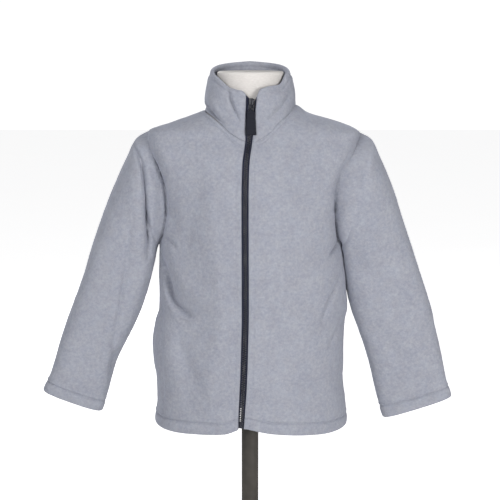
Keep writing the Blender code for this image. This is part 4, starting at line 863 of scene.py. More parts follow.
HEM_ROLL = 0.0024  # over which a turned hem rounds off at its foot
HEM_ROLL_SHARE = 0.45  # of its thickness, on each face
NAP = ((0.0045, 0.00014), (0.0085, 0.00020), (0.040, 0.00050))  # size and height of the nap's lumps


def napped(points, normal):
    """Points moved out and in by the nap's lumps."""
    high = sum(tall * lumps(points, size, step) for step, (size, tall) in enumerate(NAP))
    return points + normal * high[..., None]


def wall_object(name, piece, sink, closed=False):
    """Closed cloth between a piece's napped outer face and its plain inner one."""
    outer = piece["outer"] + piece["shift"]
    turned = rolled(piece["up_hem"], HEM_ROLL, piece["thick"] * HEM_ROLL_SHARE)
    inner = outer - piece["normal"] * (piece["thick"] - turned)[..., None]
    outer = napped(outer, piece["normal"]) - piece["normal"] * (sink + turned)[..., None]
    piece["face"] = outer
    inner = inner[::INNER_STEP, ::INNER_STEP]
    rows, columns = outer.shape[:2]
    inner_rows, inner_columns = inner.shape[:2]
    count = rows * columns
    faces = grid_faces(rows, columns, closed)
    faces += [face[::-1] for face in grid_faces(inner_rows, inner_columns, closed, count)]
    rims = []
    for row, inner_row in ((0, 0), (rows - 1, inner_rows - 1)):
        for step in range(inner_columns if closed else inner_columns - 1):
            out = [row * columns + (step * INNER_STEP + k) % columns for k in range(INNER_STEP + 1)]
            within = [count + inner_row * inner_columns + (step + k) % inner_columns for k in (1, 0)]
            rims.append(out + within if row else (out + within)[::-1])
    for col, inner_col in () if closed else ((0, 0), (columns - 1, inner_columns - 1)):
        for step in range(inner_rows - 1):
            out = [(step * INNER_STEP + k) * columns + col for k in range(INNER_STEP + 1)]
            within = [count + (step + k) * inner_columns + inner_col for k in (1, 0)]
            rims.append((out + within)[::-1] if col else out + within)
    faces += [face[::-1] for face in rims]
    quad = outer.reshape(-1, 3)[np.array(faces[:(rows - 1) * 4])]
    facing = np.cross(quad[:, 1] - quad[:, 0], quad[:, 3] - quad[:, 0])
    if (facing * piece["normal"].reshape(-1, 3)[np.array(faces[:(rows - 1) * 4])[:, 0]]).sum() < 0:
        faces = [face[::-1] for face in faces]
    made = piece_object(name, np.concatenate([outer.reshape(-1, 3), inner.reshape(-1, 3)]), faces, fleece)
    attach(made, "root")
    return made


THREAD_RADIUS = 0.00024
STITCH_PITCH = 0.0031
STITCH_LENGTH = 0.0024
STITCH_RINGS = ((0.0, 0.4, -1.5), (0.15, 0.85, -0.2), (0.5, 1.0, 0.5), (0.85, 0.85, -0.2), (1.0, 0.4, -1.5))
STITCH_SIDES = 5
thread = Finish("sewing_thread", Roughness=0.7, Specular_IOR_Level=0.3)
twist = thread.noise(0.0006, 1.0)
thread.feed("Base Color", thread.blend(twist, (0.27, 0.28, 0.34, 1), (0.38, 0.40, 0.47, 1)))
thread.bump(twist, 0.4, 0.0002)


def stitches(name, lines):
    """Topstitching along lines; each line is its points and the cloth's normals there."""
    vertices = []
    faces = []
    for points, normals in lines:
        travel = np.concatenate([[0], np.cumsum(np.linalg.norm(np.diff(points, axis=0), axis=1))])
        starts = np.arange(STITCH_PITCH / 2, travel[-1] - STITCH_LENGTH, STITCH_PITCH)
        for start in starts:
            where = start + STITCH_LENGTH * np.array([ring[0] for ring in STITCH_RINGS])
            spot = np.stack([np.interp(where, travel, points[:, axis]) for axis in range(3)], axis=1)
            facing = unit(np.stack([np.interp(where, travel, normals[:, axis]) for axis in range(3)], axis=1))
            along = unit(spot[-1] - spot[0])
            beside = unit(np.cross(along, facing))
            first = len(vertices)
            for (_, wide, rise), middle, out, across in zip(STITCH_RINGS, spot, facing, beside):
                for side in range(STITCH_SIDES):
                    angle = 2 * math.pi * side / STITCH_SIDES
                    round_it = across * math.cos(angle) + out * math.sin(angle)
                    vertices.append(middle + THREAD_RADIUS * (rise * out + wide * round_it))
            faces += grid_faces(len(STITCH_RINGS), STITCH_SIDES, True, first)
            end = first + STITCH_SIDES * (len(STITCH_RINGS) - 1)
            faces.append(list(range(first, first + STITCH_SIDES))[::-1])
            faces.append(list(range(end, end + STITCH_SIDES)))
    made = piece_object(name, vertices, faces, thread)
    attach(made, "root")
    return made


def line_at(points, distance, where):
    """The points at one distance along each row of a grid."""
    cell = np.clip((distance < where).sum(axis=1) - 1, 0, distance.shape[1] - 2)
    rows = np.arange(len(points))
    share = ((where - distance[rows, cell]) / (distance[rows, cell + 1] - distance[rows, cell]))[:, None]
    return points[rows, cell] * (1 - share) + points[rows, cell + 1] * share


SEAM_ROLL = 0.0034
SEAM_SINK = 0.0026
SEAM_SINK_ABOVE = 0.0004  # the armhole's seam lies flatter as it nears the shoulder
SEAM_FADE = {RIGHT: (0.600, 0.665), LEFT: (0.560, 0.620)}
ZIP_STITCH = 0.0075
NECK_STITCH = 0.0080
STITCH_HALF = 0.0011
STITCH_SINK = 0.0007
NECK_SINK = 0.0019
NECK_SEAM_SINK = 0.0013
NECK_HALF = 0.0016
EDGE_ROLL = 0.0018
EDGE_SINK = 0.0011
HEM_ROW = 15  # the row of a panel that its hem is stitched along
NECK_SHOWN = {RIGHT: 1.0, LEFT: 0.45}  # how strongly the neck's seam shows on each front
HEM_PUFF = 0.0009


def seam_sink(side, height):
    """How deep a side's seam is at a height."""
    return np.interp(height, SEAM_FADE[side], (SEAM_SINK, SEAM_SINK_ABOVE))


def hem_sink(piece):
    """The hem's sewn line, the soft roll below it and the ridge above it."""
    up = piece["up_hem"]
    rough = 1 + 0.5 * lumps(piece["plain"], 0.012, 31)
    below = HEM_PUFF * np.sin(math.pi * np.clip(up / HEM_STITCH, 0, 1))
    above = HEM_PUFF * np.exp(-(((up - HEM_STITCH - 0.0025) / 0.0015) ** 2))
    return groove(up - HEM_STITCH, 0.0012, 0.0019) * rough - below - above * rough


for side, name in ((RIGHT, "right"), (LEFT, "left")):
    piece = fronts[side]
    from_zip = reach(piece["plain"], 1)
    from_side = reach(piece["plain"], 1, last=True)
    from_top = reach(piece["plain"], 0, last=True)
    pucker = 1 + 0.6 * lumps(piece["plain"], 0.010, 5)
    in_neck = np.arange(SHOULDER_END + 1) <= NECK_FRONT_COLUMNS
    sink = rolled(from_zip, EDGE_ROLL, EDGE_SINK)
    sink = sink + rolled(from_side, SEAM_ROLL, seam_sink(side, piece["plain"][..., 2]))
    sink = sink + rolled(from_top, SEAM_ROLL, np.where(in_neck, NECK_SHOWN[side] * NECK_SEAM_SINK, SEAM_SINK_ABOVE))
    sink = sink + hem_sink(piece)
    sink = sink + groove(from_zip - ZIP_STITCH, STITCH_HALF, STITCH_SINK) * pucker
    sink = sink + groove(from_top - NECK_STITCH, NECK_HALF, NECK_SHOWN[side] * NECK_SINK) * pucker * in_neck
    panel_object = wall_object("front_panel_" + name, piece, sink)
    outside = piece["normal"]
    neck_part = slice(0, NECK_FRONT_COLUMNS - 2)
    neck_line = [line_at(grid[::-1].swapaxes(0, 1)[neck_part], from_top[::-1].T[neck_part], NECK_STITCH)[5:]
                 for grid in (piece["face"], outside)]
    sewn = [
        (line_at(piece["face"], from_zip, ZIP_STITCH), line_at(outside, from_zip, ZIP_STITCH)),
        (piece["face"][HEM_ROW, 8:], outside[HEM_ROW, 8:]),
        tuple(neck_line),
    ]
    stitching = stitches("front_stitching_" + name, sewn)
    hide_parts("front_" + name)

from_right = reach(back["plain"], 1)
from_left = reach(back["plain"], 1, last=True)
from_top = reach(back["plain"], 0, last=True)
back_columns = np.arange(BACK_LAST + 1)
in_neck = (back_columns >= SHOULDER_COLUMNS) & (back_columns <= SHOULDER_COLUMNS + NECK_BACK_COLUMNS)
back_height = back["plain"][..., 2]
sink = rolled(from_right, SEAM_ROLL, seam_sink(RIGHT, back_height))
sink = sink + rolled(from_left, SEAM_ROLL, seam_sink(LEFT, back_height))
sink = sink + rolled(from_top, SEAM_ROLL, np.where(in_neck, NECK_SEAM_SINK, SEAM_SINK_ABOVE)) + hem_sink(back)
sink = sink + groove(from_top - NECK_STITCH, NECK_HALF, NECK_SINK) * in_neck
back_object = wall_object("back_panel", back, sink)
neck_part = slice(SHOULDER_COLUMNS + 2, SHOULDER_COLUMNS + NECK_BACK_COLUMNS - 1)
neck_line = [line_at(grid[::-1].swapaxes(0, 1)[neck_part], from_top[::-1].T[neck_part], NECK_STITCH)
             for grid in (back["face"], back["normal"])]
back_stitching = stitches("back_stitching", [(back["face"][HEM_ROW], back["normal"][HEM_ROW]), tuple(neck_line)])
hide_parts("back")

# ---------------------------------------------------------------------------------------------
# The sleeves: one piece of the same fleece each, closed by a seam along the underside and sewn
# round the armhole. They hang empty, and their ends are turned in and topstitched.
# ---------------------------------------------------------------------------------------------
SLEEVE_SECTIONS = {  # outer x and z, inner x and z, half depth, and the middle's y
    RIGHT: (
        (0.1630, 0.6838, 0.1331, 0.5275, 0.0575, 0.000),
        (0.1775, 0.6570, 0.1342, 0.5245, 0.0575, 0.000),
        (0.1945, 0.6200, 0.1353, 0.5210, 0.0550, 0.000),
        (0.2115, 0.5780, 0.1364, 0.5165, 0.0510, 0.000),
        (0.2260, 0.5380, 0.1385, 0.5060, 0.0475, 0.000),
        (0.2355, 0.5080, 0.1434, 0.4860, 0.0450, -0.001),
        (0.2415, 0.4890, 0.1496, 0.4620, 0.0435, -0.002),
        (0.2512, 0.4620, 0.1587, 0.4350, 0.0420, -0.003),
        (0.2610, 0.4360, 0.1708, 0.4080, 0.0400, -0.004),
        (0.2708, 0.4095, 0.1845, 0.3810, 0.0370, -0.005),
        (0.2795, 0.3835, 0.1960, 0.3560, 0.0335, -0.006),
        (0.2868, 0.3600, 0.2035, 0.3320, 0.0300, -0.007),
        (0.2935, 0.3390, 0.2098, 0.3090, 0.0265, -0.008),
        (0.3050, 0.3130, 0.2186, 0.2818, 0.0225, -0.009),
    ),
    LEFT: (
        (0.1735, 0.6835, 0.1337, 0.5240, 0.0575, 0.000),
        (0.1880, 0.6560, 0.1348, 0.5205, 0.0565, 0.000),
        (0.2040, 0.6190, 0.1358, 0.5160, 0.0530, 0.000),
        (0.2205, 0.5700, 0.1364, 0.5080, 0.0480, 0.000),
        (0.2360, 0.5250, 0.1384, 0.4920, 0.0430, 0.000),
        (0.2490, 0.4850, 0.1416, 0.4620, 0.0390, -0.001),
        (0.2600, 0.4530, 0.1485, 0.4330, 0.0360, -0.002),
        (0.2660, 0.4340, 0.1560, 0.4110, 0.0335, -0.003),
        (0.2712, 0.4110, 0.1660, 0.3830, 0.0310, -0.004),
        (0.2760, 0.3920, 0.1718, 0.3640, 0.0290, -0.005),
        (0.2802, 0.3720, 0.1775, 0.3430, 0.0270, -0.006),
        (0.2842, 0.3520, 0.1822, 0.3240, 0.0245, -0.007),
        (0.2888, 0.3310, 0.1877, 0.3020, 0.0220, -0.008),
        (0.2972, 0.3035, 0.1965, 0.2712, 0.0190, -0.009),
    ),
}
SLEEVE_FOLDS = {
    RIGHT: (
        (FRONT, -0.0150, 0.0042, 0.0044, 0.7, ((-0.1700, 0.6800), (-0.1590, 0.6640), (-0.1510, 0.6450),
                                               (-0.1480, 0.6150), (-0.1465, 0.5850), (-0.1450, 0.5500),
                                               (-0.1460, 0.5150))),
        (FRONT, 0.0024, 0.0060, 0.0060, 0.0, ((-0.1400, 0.6500), (-0.1360, 0.6150), (-0.1360, 0.5800),
                                              (-0.1370, 0.5550))),
        (FRONT, 0.0018, 0.0120, 0.0090, 0.0, ((-0.1700, 0.6500), (-0.1640, 0.6100), (-0.1640, 0.5700),
                                              (-0.1620, 0.5400))),
        (FRONT, 0.0034, 0.0090, 0.0100, 0.0, ((-0.1400, 0.5250), (-0.1440, 0.5100), (-0.1500, 0.4900),
                                              (-0.1600, 0.4600))),
        (FRONT, -0.0036, 0.0046, 0.0052, 0.4, ((-0.1710, 0.5200), (-0.1770, 0.4900), (-0.1850, 0.4550),
                                               (-0.1940, 0.4100), (-0.1990, 0.3760), (-0.1985, 0.3500))),
        (FRONT, -0.0018, 0.0045, 0.0045, 0.6, ((-0.1660, 0.5800), (-0.1720, 0.5450), (-0.1787, 0.5100),
                                               (-0.1886, 0.4530))),
        (FRONT, 0.0020, 0.0110, 0.0080, 0.0, ((-0.1900, 0.5200), (-0.1980, 0.4700), (-0.2100, 0.4200),
                                              (-0.2200, 0.3900))),
        (FRONT, -0.0055, 0.0046, 0.0050, 0.6, ((-0.1880, 0.3780), (-0.1960, 0.3680), (-0.2020, 0.3540),
                                               (-0.2040, 0.3380))),
        (FRONT, -0.0018, 0.0080, 0.0080, 0.0, ((-0.2000, 0.3700), (-0.2200, 0.3610), (-0.2480, 0.3650))),
        (BACK, -0.0060, 0.0120, 0.0090, 0.0, ((-0.160, 0.560), (-0.190, 0.470), (-0.225, 0.395))),
        (BACK, -0.0055, 0.0060, 0.0070, 0.4, ((-0.168, 0.660), (-0.158, 0.620), (-0.160, 0.570))),
        (BACK, -0.0035, 0.0090, 0.0090, 0.0, ((-0.205, 0.395), (-0.232, 0.372), (-0.262, 0.368))),
    ),
    LEFT: (
        (FRONT, 0.0070, 0.0110, 0.0110, 0.0, ((0.1330, 0.5950), (0.1320, 0.5650), (0.1340, 0.5350), (0.1380, 0.5050),
                                              (0.1440, 0.4750))),
        (FRONT, -0.0018, 0.0120, 0.0120, 0.0, ((0.150, 0.520), (0.184, 0.480), (0.222, 0.440))),
        (FRONT, -0.0020, 0.0110, 0.0110, 0.0, ((0.175, 0.420), (0.205, 0.380), (0.240, 0.352))),
        (FRONT, -0.0024, 0.0090, 0.0090, 0.0, ((0.166, 0.668), (0.157, 0.635), (0.152, 0.600), (0.150, 0.570))),
        (FRONT, -0.0014, 0.0140, 0.0140, 0.0, ((0.195, 0.600), (0.214, 0.540), (0.236, 0.480))),
        (BACK, -0.0060, 0.0090, 0.0120, 0.0, ((0.165, 0.560), (0.195, 0.480), (0.232, 0.400))),
        (BACK, -0.0050, 0.0070, 0.0060, 0.4, ((0.165, 0.655), (0.156, 0.615), (0.158, 0.570))),
        (BACK, -0.0035, 0.0090, 0.0090, 0.0, ((0.190, 0.400), (0.222, 0.375), (0.258, 0.372))),
    ),
}
SLEEVE_SQUARENESS = 2.7
SLEEVE_SQUARE_FROM = 5  # the section by which a sleeve is fully that square
SLEEVE_FLATTENED = 0.96
SLEEVE_ROWS = 234
SLEEVE_SEAM = (0.0014, 0.0010)  # half the width of the seam's groove, and how deep it is
ARMHOLE_TURN = 0.0050  # over which a sleeve turns away from the body's face
sleeves = {}
for side, name in ((RIGHT, "right"), (LEFT, "left")):
    back_edge = 0 if side == RIGHT else BACK_LAST
    armhole_ring = np.concatenate([fronts[side]["plain"][UNDERARM:, SHOULDER_END][::-1],
                                   back["plain"][UNDERARM + 1:TOP, back_edge]])
    turn = math.pi * np.arange(2 * ARMHOLE_ROWS) / ARMHOLE_ROWS
    rings = [armhole_ring]
    for section, (outer_x, outer_z, inner_x, inner_z, half_depth, middle_y) in enumerate(SLEEVE_SECTIONS[side]):
        square = min(section / SLEEVE_SQUARE_FROM, 1)
        power = 2 / (2 + (SLEEVE_SQUARENESS - 2) * square)
        half = np.array([side * (outer_x - inner_x), 0, outer_z - inner_z]) / 2
        middle = np.array([side * (outer_x + inner_x) / 2, middle_y, (outer_z + inner_z) / 2])
        depth = np.array([0, -half_depth * (1 - (1 - SLEEVE_FLATTENED) * square), 0])
        cos, sin = np.cos(turn)[:, None], np.sin(turn)[:, None]
        rings.append(middle + np.sign(cos) * np.abs(cos) ** power * half
                     + np.sign(sin) * np.abs(sin) ** power * depth)
    rings = np.array(rings)
    last = len(rings) - 1
    travel = np.concatenate([[0], np.cumsum(np.linalg.norm(np.diff(rings.mean(axis=1), axis=0), axis=1))])
    end_step = np.linalg.norm(rings[last, 0] - rings[last - 1, 0])
    hem = last - HEM_STEPS[::-1] / end_step
    plain_rows = np.interp(np.linspace(0, np.interp(hem[0], np.arange(last + 1), travel), SLEEVE_ROWS + 1),
                           travel, np.arange(last + 1))
    rows = np.concatenate([plain_rows[:-1], hem])
    points = smooth_curve(np.arange(last + 1), rings, rows)
    normal = grid_normals(points, closed=True)
    centre = points.mean(axis=1, keepdims=True)
    if (normal * (points - centre)).sum() < 0:
        normal = -normal
    shift = fold_shift(SLEEVE_FOLDS[side], points.reshape(-1, 3), normal.reshape(-1, 3)).reshape(points.shape)
    points = points + shift * np.clip(reach(points, 0) / ARMHOLE_TURN, 0, 1)[..., None]
    outward = grid_normals(points, closed=True)
    outward = outward * np.sign((outward * normal).sum(axis=-1, keepdims=True))
    up_hem = np.concatenate([np.full(SLEEVE_ROWS, 1.0), HEM_STEPS[::-1]])[:, None] * np.ones(len(turn))
    thick = np.interp(up_hem, (HEM_STITCH, HEM_STEPS[-1]), (HEM_CLOTH, CLOTH))
    ring_normal = np.concatenate([fronts[side]["normal"][UNDERARM:, SHOULDER_END][::-1],
                                  back["normal"][UNDERARM + 1:TOP, back_edge]])
    from_armhole = reach(points, 0)
    own = np.clip(from_armhole / ARMHOLE_TURN, 0, 1)[..., None]
    outward = unit(ring_normal * (1 - own) + outward * own)
    sleeve = ready_to_join({"outer": points, "normal": outward, "thick": thick, "up_hem": up_hem})
    around = reach(points, 1)
    from_seam = np.abs(around - around[:, ARMHOLE_ROWS:ARMHOLE_ROWS + 1])
    sink = rolled(from_armhole, SEAM_ROLL, seam_sink(side, points[:1, :, 2])) + hem_sink(sleeve)
    sink = sink + groove(from_seam, *SLEEVE_SEAM)
    press_edge(sleeve, (0, np.arange(len(turn))), (1, np.arange(len(turn))))
    sleeve_object = wall_object("sleeve_tube_" + name, sleeve, sink, closed=True)
    stitch_row = len(rows) - 1 - HEM_ROW
    loop = list(range(len(turn))) + [0]
    cuff_stitching = stitches("cuff_stitching_" + name,
                              [(sleeve["face"][stitch_row, loop], sleeve["normal"][stitch_row, loop])])
    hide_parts("sleeve_" + name)
    sleeves[side] = sleeve

# ---------------------------------------------------------------------------------------------
# The collar: a stand of two layers of the fleece, folded over at its top edge and sewn into the
# neckline. The zip's tape is caught between the layers at the front.
# ---------------------------------------------------------------------------------------------
COLLAR_COLUMNS = ("turn", "half_width", "front_or_back", "right_height", "left_height")  # turn: 0 front, 180 back
COLLAR_TOP = (
    (0.0, 0.0575, 0.0605, 0.7535, 0.7565),
    (12.0, 0.0575, 0.0605, 0.7545, 0.7575),
    (30.0, 0.0575, 0.0600, 0.7585, 0.7605),
    (50.0, 0.0572, 0.0600, 0.7690, 0.7625),
    (60.0, 0.0570, 0.0600, 0.7730, 0.7680),
    (72.0, 0.0567, 0.0600, 0.7765, 0.7765),
    (90.0, 0.0565, 0.0600, 0.7810, 0.7810),
    (130.0, 0.0570, 0.0600, 0.7880, 0.7880),
    (180.0, 0.0570, 0.0600, 0.7915, 0.7915),
)
COLLAR_BULGE = 0.0026
COLLAR_BULGE_AT = (0.45, 0.75)  # shares of the collar's height between which it swells most
COLLAR_BULGE_SHARES = (0.0, 1.0, 0.8, 0.15)  # of the bulge: at the seam, at those two and at the slot's top
COLLAR_SLOT = 0.0020
COLLAR_INNER_CLOTH = 0.0023
COLLAR_SLOT_TOP = 0.0060
COLLAR_CORNER_DROP = {RIGHT: 0.0052, LEFT: 0.0098}
COLLAR_CORNER_REACH = 0.0085
COLLAR_LEAN_REACH = 0.0350  # how far round the collar its top is drawn over to the zip's line
COLLAR_BAND = 0.0080  # the topstitched edge band's width
COLLAR_TUCK = 0.0030  # how deep the cloth is tucked in above the neck's seam on the wearer's right
COLLAR_BAND_GROOVE = (0.0014, 0.0010)  # half the width of the band's sewn line, and how deep it is
COLLAR_TUCK_AT = (0.0050, 0.0036)  # how far up the tuck lies, and half its height
COLLAR_TUCK_ROUND = (1.35, 0.55)  # how far round it lies and reaches, in radians from the front
COLLAR_FRONT_SINK = 0.0010
COLLAR_HELD_BELOW = 0.0040  # the neck's seam flattens the folds up to here
COLLAR_HELD_ABOVE = 0.0100  # the top edge flattens them within this of it
COLLAR_HELD_FRONT = 0.0080  # the zip's edge flattens them within this of it
COLLAR_HELD_LEAST = (0.15, 0.1)  # how much of a fold is left at the neck's seam and at the top edge
COLLAR_INNER_FOLD = 0.6  # how much of a fold shows on the inner side
COLLAR_ROWS = 42
COLLAR_EDGE_ROWS = 12
COLLAR_FOLDS = (
    (FRONT, -0.0105, 0.0044, 0.0044, 0.6, ((-0.0690, 0.7390), (-0.0640, 0.7310), (-0.0580, 0.7240),
                                           (-0.0500, 0.7150), (-0.0430, 0.7090))),
    (FRONT, 0.0024, 0.0050, 0.0050, 0.0, ((-0.0600, 0.7440), (-0.0500, 0.7310), (-0.0400, 0.7200))),
    (FRONT, -0.0055, 0.0030, 0.0030, 0.6, ((-0.0310, 0.7560), (-0.0280, 0.7430), (-0.0235, 0.7310),
                                           (-0.0180, 0.7180), (-0.0160, 0.7120))),
    (FRONT, 0.0022, 0.0040, 0.0050, 0.0, ((-0.0230, 0.7530), (-0.0200, 0.7400), (-0.0140, 0.7260))),
    (FRONT, -0.0022, 0.0034, 0.0034, 0.6, ((-0.0560, 0.7720), (-0.0480, 0.7640), (-0.0380, 0.7590), (-0.0300, 0.7560))),
    (FRONT, -0.0036, 0.0056, 0.0048, 0.5, ((0.0590, 0.7530), (0.0520, 0.7400), (0.0400, 0.7260), (0.0290, 0.7170),
                                           (0.0210, 0.7100))),
    (BACK, -0.0018, 0.0080, 0.0080, 0.0, ((-0.0400, 0.7480), (-0.0100, 0.7420), (0.0200, 0.7470))),
    (BACK, -0.0028, 0.0060, 0.0060, 0.4, ((0.0600, 0.7600), (0.0520, 0.7450), (0.0400, 0.7340))),
)


def collar_top(name, turn):
    turns = column(COLLAR_TOP, COLLAR_COLUMNS, "turn")
    return smooth_curve(turns, column(COLLAR_TOP, COLLAR_COLUMNS, name), np.degrees(turn))


base = np.concatenate([fronts[RIGHT]["plain"][-1, :NECK_FRONT_COLUMNS + 1],
                       back["plain"][-1, SHOULDER_COLUMNS + 1:SHOULDER_COLUMNS + NECK_BACK_COLUMNS],
                       fronts[LEFT]["plain"][-1, NECK_FRONT_COLUMNS::-1]])
side = np.where(base[:, 0] < 0, RIGHT, LEFT)
turn = np.arctan2(np.abs(base[:, 0]) / NECK_HALF_WIDTH,
                  -base[:, 1] / np.where(base[:, 1] < 0, NECK_FRONT, NECK_BACK))
round_neck = np.concatenate([[0], np.cumsum(np.linalg.norm(np.diff(base, axis=0), axis=1))])
from_front = np.minimum(round_neck, round_neck[-1] - round_neck)
corner = np.clip(1 - from_front / COLLAR_CORNER_REACH, 0, 1)
height = np.where(side < 0, collar_top("right_height", turn), collar_top("left_height", turn))
plain_x = side * collar_top("half_width", turn) * np.sin(turn)
top_z = height - np.where(side < 0, COLLAR_CORNER_DROP[RIGHT], COLLAR_CORNER_DROP[LEFT]) * corner ** 2.0
zip_x = zip_value("offset", top_z) + side * zip_value("half_opening", top_z)
lean = np.where(side < 0, (zip_x - plain_x)[0], (zip_x - plain_x)[-1])
leaning = np.clip(1 - from_front / COLLAR_LEAN_REACH, 0, 1)
edge = np.stack([plain_x + lean * leaning ** 2 * (3 - 2 * leaning),
                 -collar_top("front_or_back", turn) * np.cos(turn), top_z], axis=1)
out = np.stack([side * np.sin(turn), -np.cos(turn), 0 * turn], axis=1)
rise = edge - base
tall = np.linalg.norm(rise, axis=1, keepdims=True)
up = rise / tall
thick_way = unit(out - up * (out * up).sum(axis=1, keepdims=True))
WHOLE = CLOTH + COLLAR_SLOT + COLLAR_INNER_CLOTH
half_whole = WHOLE / 2
slot_top = tall - COLLAR_SLOT_TOP
climb = np.linspace(0, 1, COLLAR_ROWS + 1)[None]
face_along = (slot_top + SEAM_BITE) * climb - SEAM_BITE
knots = np.stack([0 * tall[:, 0] - SEAM_BITE, COLLAR_BULGE_AT[0] * tall[:, 0], COLLAR_BULGE_AT[1] * tall[:, 0],
                  slot_top[:, 0]])
bulged = np.array([smooth_curve(knots[:, i], COLLAR_BULGE_SHARES, face_along[i]) for i in range(len(tall))])
arc = np.linspace(0, math.pi, COLLAR_EDGE_ROWS + 1)[None]
edge_along = tall - half_whole + half_whole * np.sin(arc)
edge_deep = np.broadcast_to(half_whole - half_whole * np.cos(arc), edge_along.shape)
between = np.linspace(0, 1, 4)[None, 1:-1]
below_along = slot_top + (tall - half_whole - slot_top) * between
below_share = COLLAR_BULGE_SHARES[-1] * (1 - between) * np.ones_like(tall)
flat = np.zeros_like(face_along)
along = np.hstack([face_along, below_along, edge_along, below_along[:, ::-1], face_along[:, ::-1],
                   face_along[:, ::INNER_STEP], face_along[:, ::-INNER_STEP]])
inner_flat = flat[:, ::INNER_STEP]
deep = np.hstack([flat, 0 * below_along, edge_deep, 0 * below_along + WHOLE, flat + WHOLE,
                  inner_flat + CLOTH + COLLAR_SLOT, inner_flat + CLOTH])
share = np.hstack([bulged, below_share, 0 * edge_along, below_share[:, ::-1], bulged[:, ::-1],
                   bulged[:, ::INNER_STEP], bulged[:, ::-INNER_STEP]])
bulge = COLLAR_BULGE * np.sin(turn)[:, None]
outer_twin = base[:, None] + up[:, None] * along[..., None] + thick_way[:, None] * (share * bulge)[..., None]
facing = np.broadcast_to(thick_way[:, None], outer_twin.shape)
fold = fold_shift(COLLAR_FOLDS, outer_twin.reshape(-1, 3), facing.reshape(-1, 3)).reshape(outer_twin.shape)
hold = np.clip(along / COLLAR_HELD_BELOW, COLLAR_HELD_LEAST[0], 1)
hold = hold * np.clip((tall - along) / COLLAR_HELD_ABOVE, COLLAR_HELD_LEAST[1], 1)
fold = fold * (hold * np.clip(from_front / COLLAR_HELD_FRONT, 0, 1)[:, None])[..., None]
down = tall - along
shown = np.where(side < 0, NECK_SHOWN[RIGHT], NECK_SHOWN[LEFT])[:, None]
sink = shown * rolled(along, SEAM_ROLL, NECK_SEAM_SINK) + groove(down - COLLAR_BAND, *COLLAR_BAND_GROOVE)
tuck_up = (along - COLLAR_TUCK_AT[0]) / COLLAR_TUCK_AT[1]
tuck_round = (turn[:, None] - COLLAR_TUCK_ROUND[0]) / COLLAR_TUCK_ROUND[1]
sink = sink + COLLAR_TUCK * np.exp(-(tuck_up ** 2) - tuck_round ** 2) * (side < 0)[:, None]
sink = sink + rolled(from_front[:, None] + 0 * along, EDGE_ROLL, COLLAR_FRONT_SINK)
side_sign = np.where(deep < half_whole, 1.0, -1.0)
show = ((deep == 0) | (deep >= WHOLE - 1e-6)) & (along < tall - half_whole)
nap_high = sum(tall_lump * lumps(outer_twin, size, step) for step, (size, tall_lump) in enumerate(NAP[:2]))
moved = np.where(show, side_sign * (nap_high - sink), 0)
collar_points = outer_twin + thick_way[:, None] * (moved - deep)[..., None]
collar_points = collar_points + fold * np.where(deep < half_whole, 1.0, COLLAR_INNER_FOLD)[..., None]
sides = collar_points.shape[1]
collar_faces = [face[::-1] for face in grid_faces(len(base), sides, closed=True)]
collar_faces.append(list(range(sides)))
collar_faces.append(list(range((len(base) - 1) * sides, len(base) * sides))[::-1])
collar_object = piece_object("stand_collar", collar_points.reshape(-1, 3), collar_faces, fleece)
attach(collar_object, "root")
band_line = [line_at(grid[:, :COLLAR_ROWS + 1][3:-3], along[:, :COLLAR_ROWS + 1][3:-3] - tall[3:-3] + 1.0,
                     1.0 - COLLAR_BAND) for grid in (collar_points, np.broadcast_to(thick_way[:, None],
                                                                                     collar_points.shape))]
collar_stitching = stitches("collar_stitching", [tuple(band_line)])
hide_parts("collar")

# ---------------------------------------------------------------------------------------------
# The zip's tapes: two navy tapes woven with a thick cord along the edge that carries the teeth.
# Each is sewn under the edge of its front, and its upper end is caught between the collar's layers.
# ---------------------------------------------------------------------------------------------
TAPE_THICK = 0.0010
TAPE_BEHIND = 0.0005
TAPE_DEPTH = CLOTH + TAPE_BEHIND
TAPE_STEP = 0.0010
TAPE_COLUMNS = np.array((2.2, 2.4, 2.7, 3.0, 3.3, 3.7, 4.2, 5.0, 6.0, 7.5, 9.0, 10.5, 12.0, 13.5, 14.7, 15.0)) / 1000
TAPE_CORD = (0.0027, 0.0006, 0.0006)  # where the cord lies, how wide and how high it is
ZIP_SMOOTHING = 9  # samples, half a millimetre apart
ZIP_SAMPLE = 0.0005
TAPE_ABOVE = 0.0085  # how far the tapes reach up past the collar's slot
TAPE_CAUGHT = 0.0200  # over which the part between the collar's layers is held down to the slot's top
TAPE_SHOWN = (0.0072, 0.0015)  # how wide a tape shows above the slot, and over what width that ends


def zip_edge(front, station, further):
    """A front's edge and the collar's above it: points, points in from them, and normals."""
    rows = slice(1, COLLAR_ROWS)
    points = np.concatenate([front["plain"][:, 0], outer_twin[station, rows]])
    inside = np.concatenate([front["plain"][:, 3], outer_twin[further, rows]])
    top_end = unit(points[-1] - points[-4]) * TAPE_ABOVE
    points = np.concatenate([points, points[-1:] + top_end])
    inside = np.concatenate([inside, inside[-1:] + top_end])
    normals = np.concatenate([front["normal"][:, 0], np.repeat(thick_way[station][None], COLLAR_ROWS, axis=0)])
    return points, inside, normals


def smoothed(values):
    """Rows of values, each the mean of those about it."""
    half = ZIP_SMOOTHING // 2
    padded = np.concatenate([np.repeat(values[:1], half, axis=0), values, np.repeat(values[-1:], half, axis=0)])
    return sum(padded[k:k + len(values)] for k in range(ZIP_SMOOTHING)) / ZIP_SMOOTHING


right_edge = zip_edge(fronts[RIGHT], 0, 3)
left_edge = zip_edge(fronts[LEFT], -1, -4)
rough_middle = (right_edge[0] + left_edge[0]) / 2
rough_run = np.concatenate([[0], np.cumsum(np.linalg.norm(np.diff(rough_middle, axis=0), axis=1))])
run = np.arange(0, rough_run[-1], ZIP_SAMPLE)


def along_zip(values):
    """Values of the zip's edge at each sample of its run."""
    return smoothed(np.stack([np.interp(run, rough_run, values[:, axis]) for axis in range(values.shape[1])], axis=1))


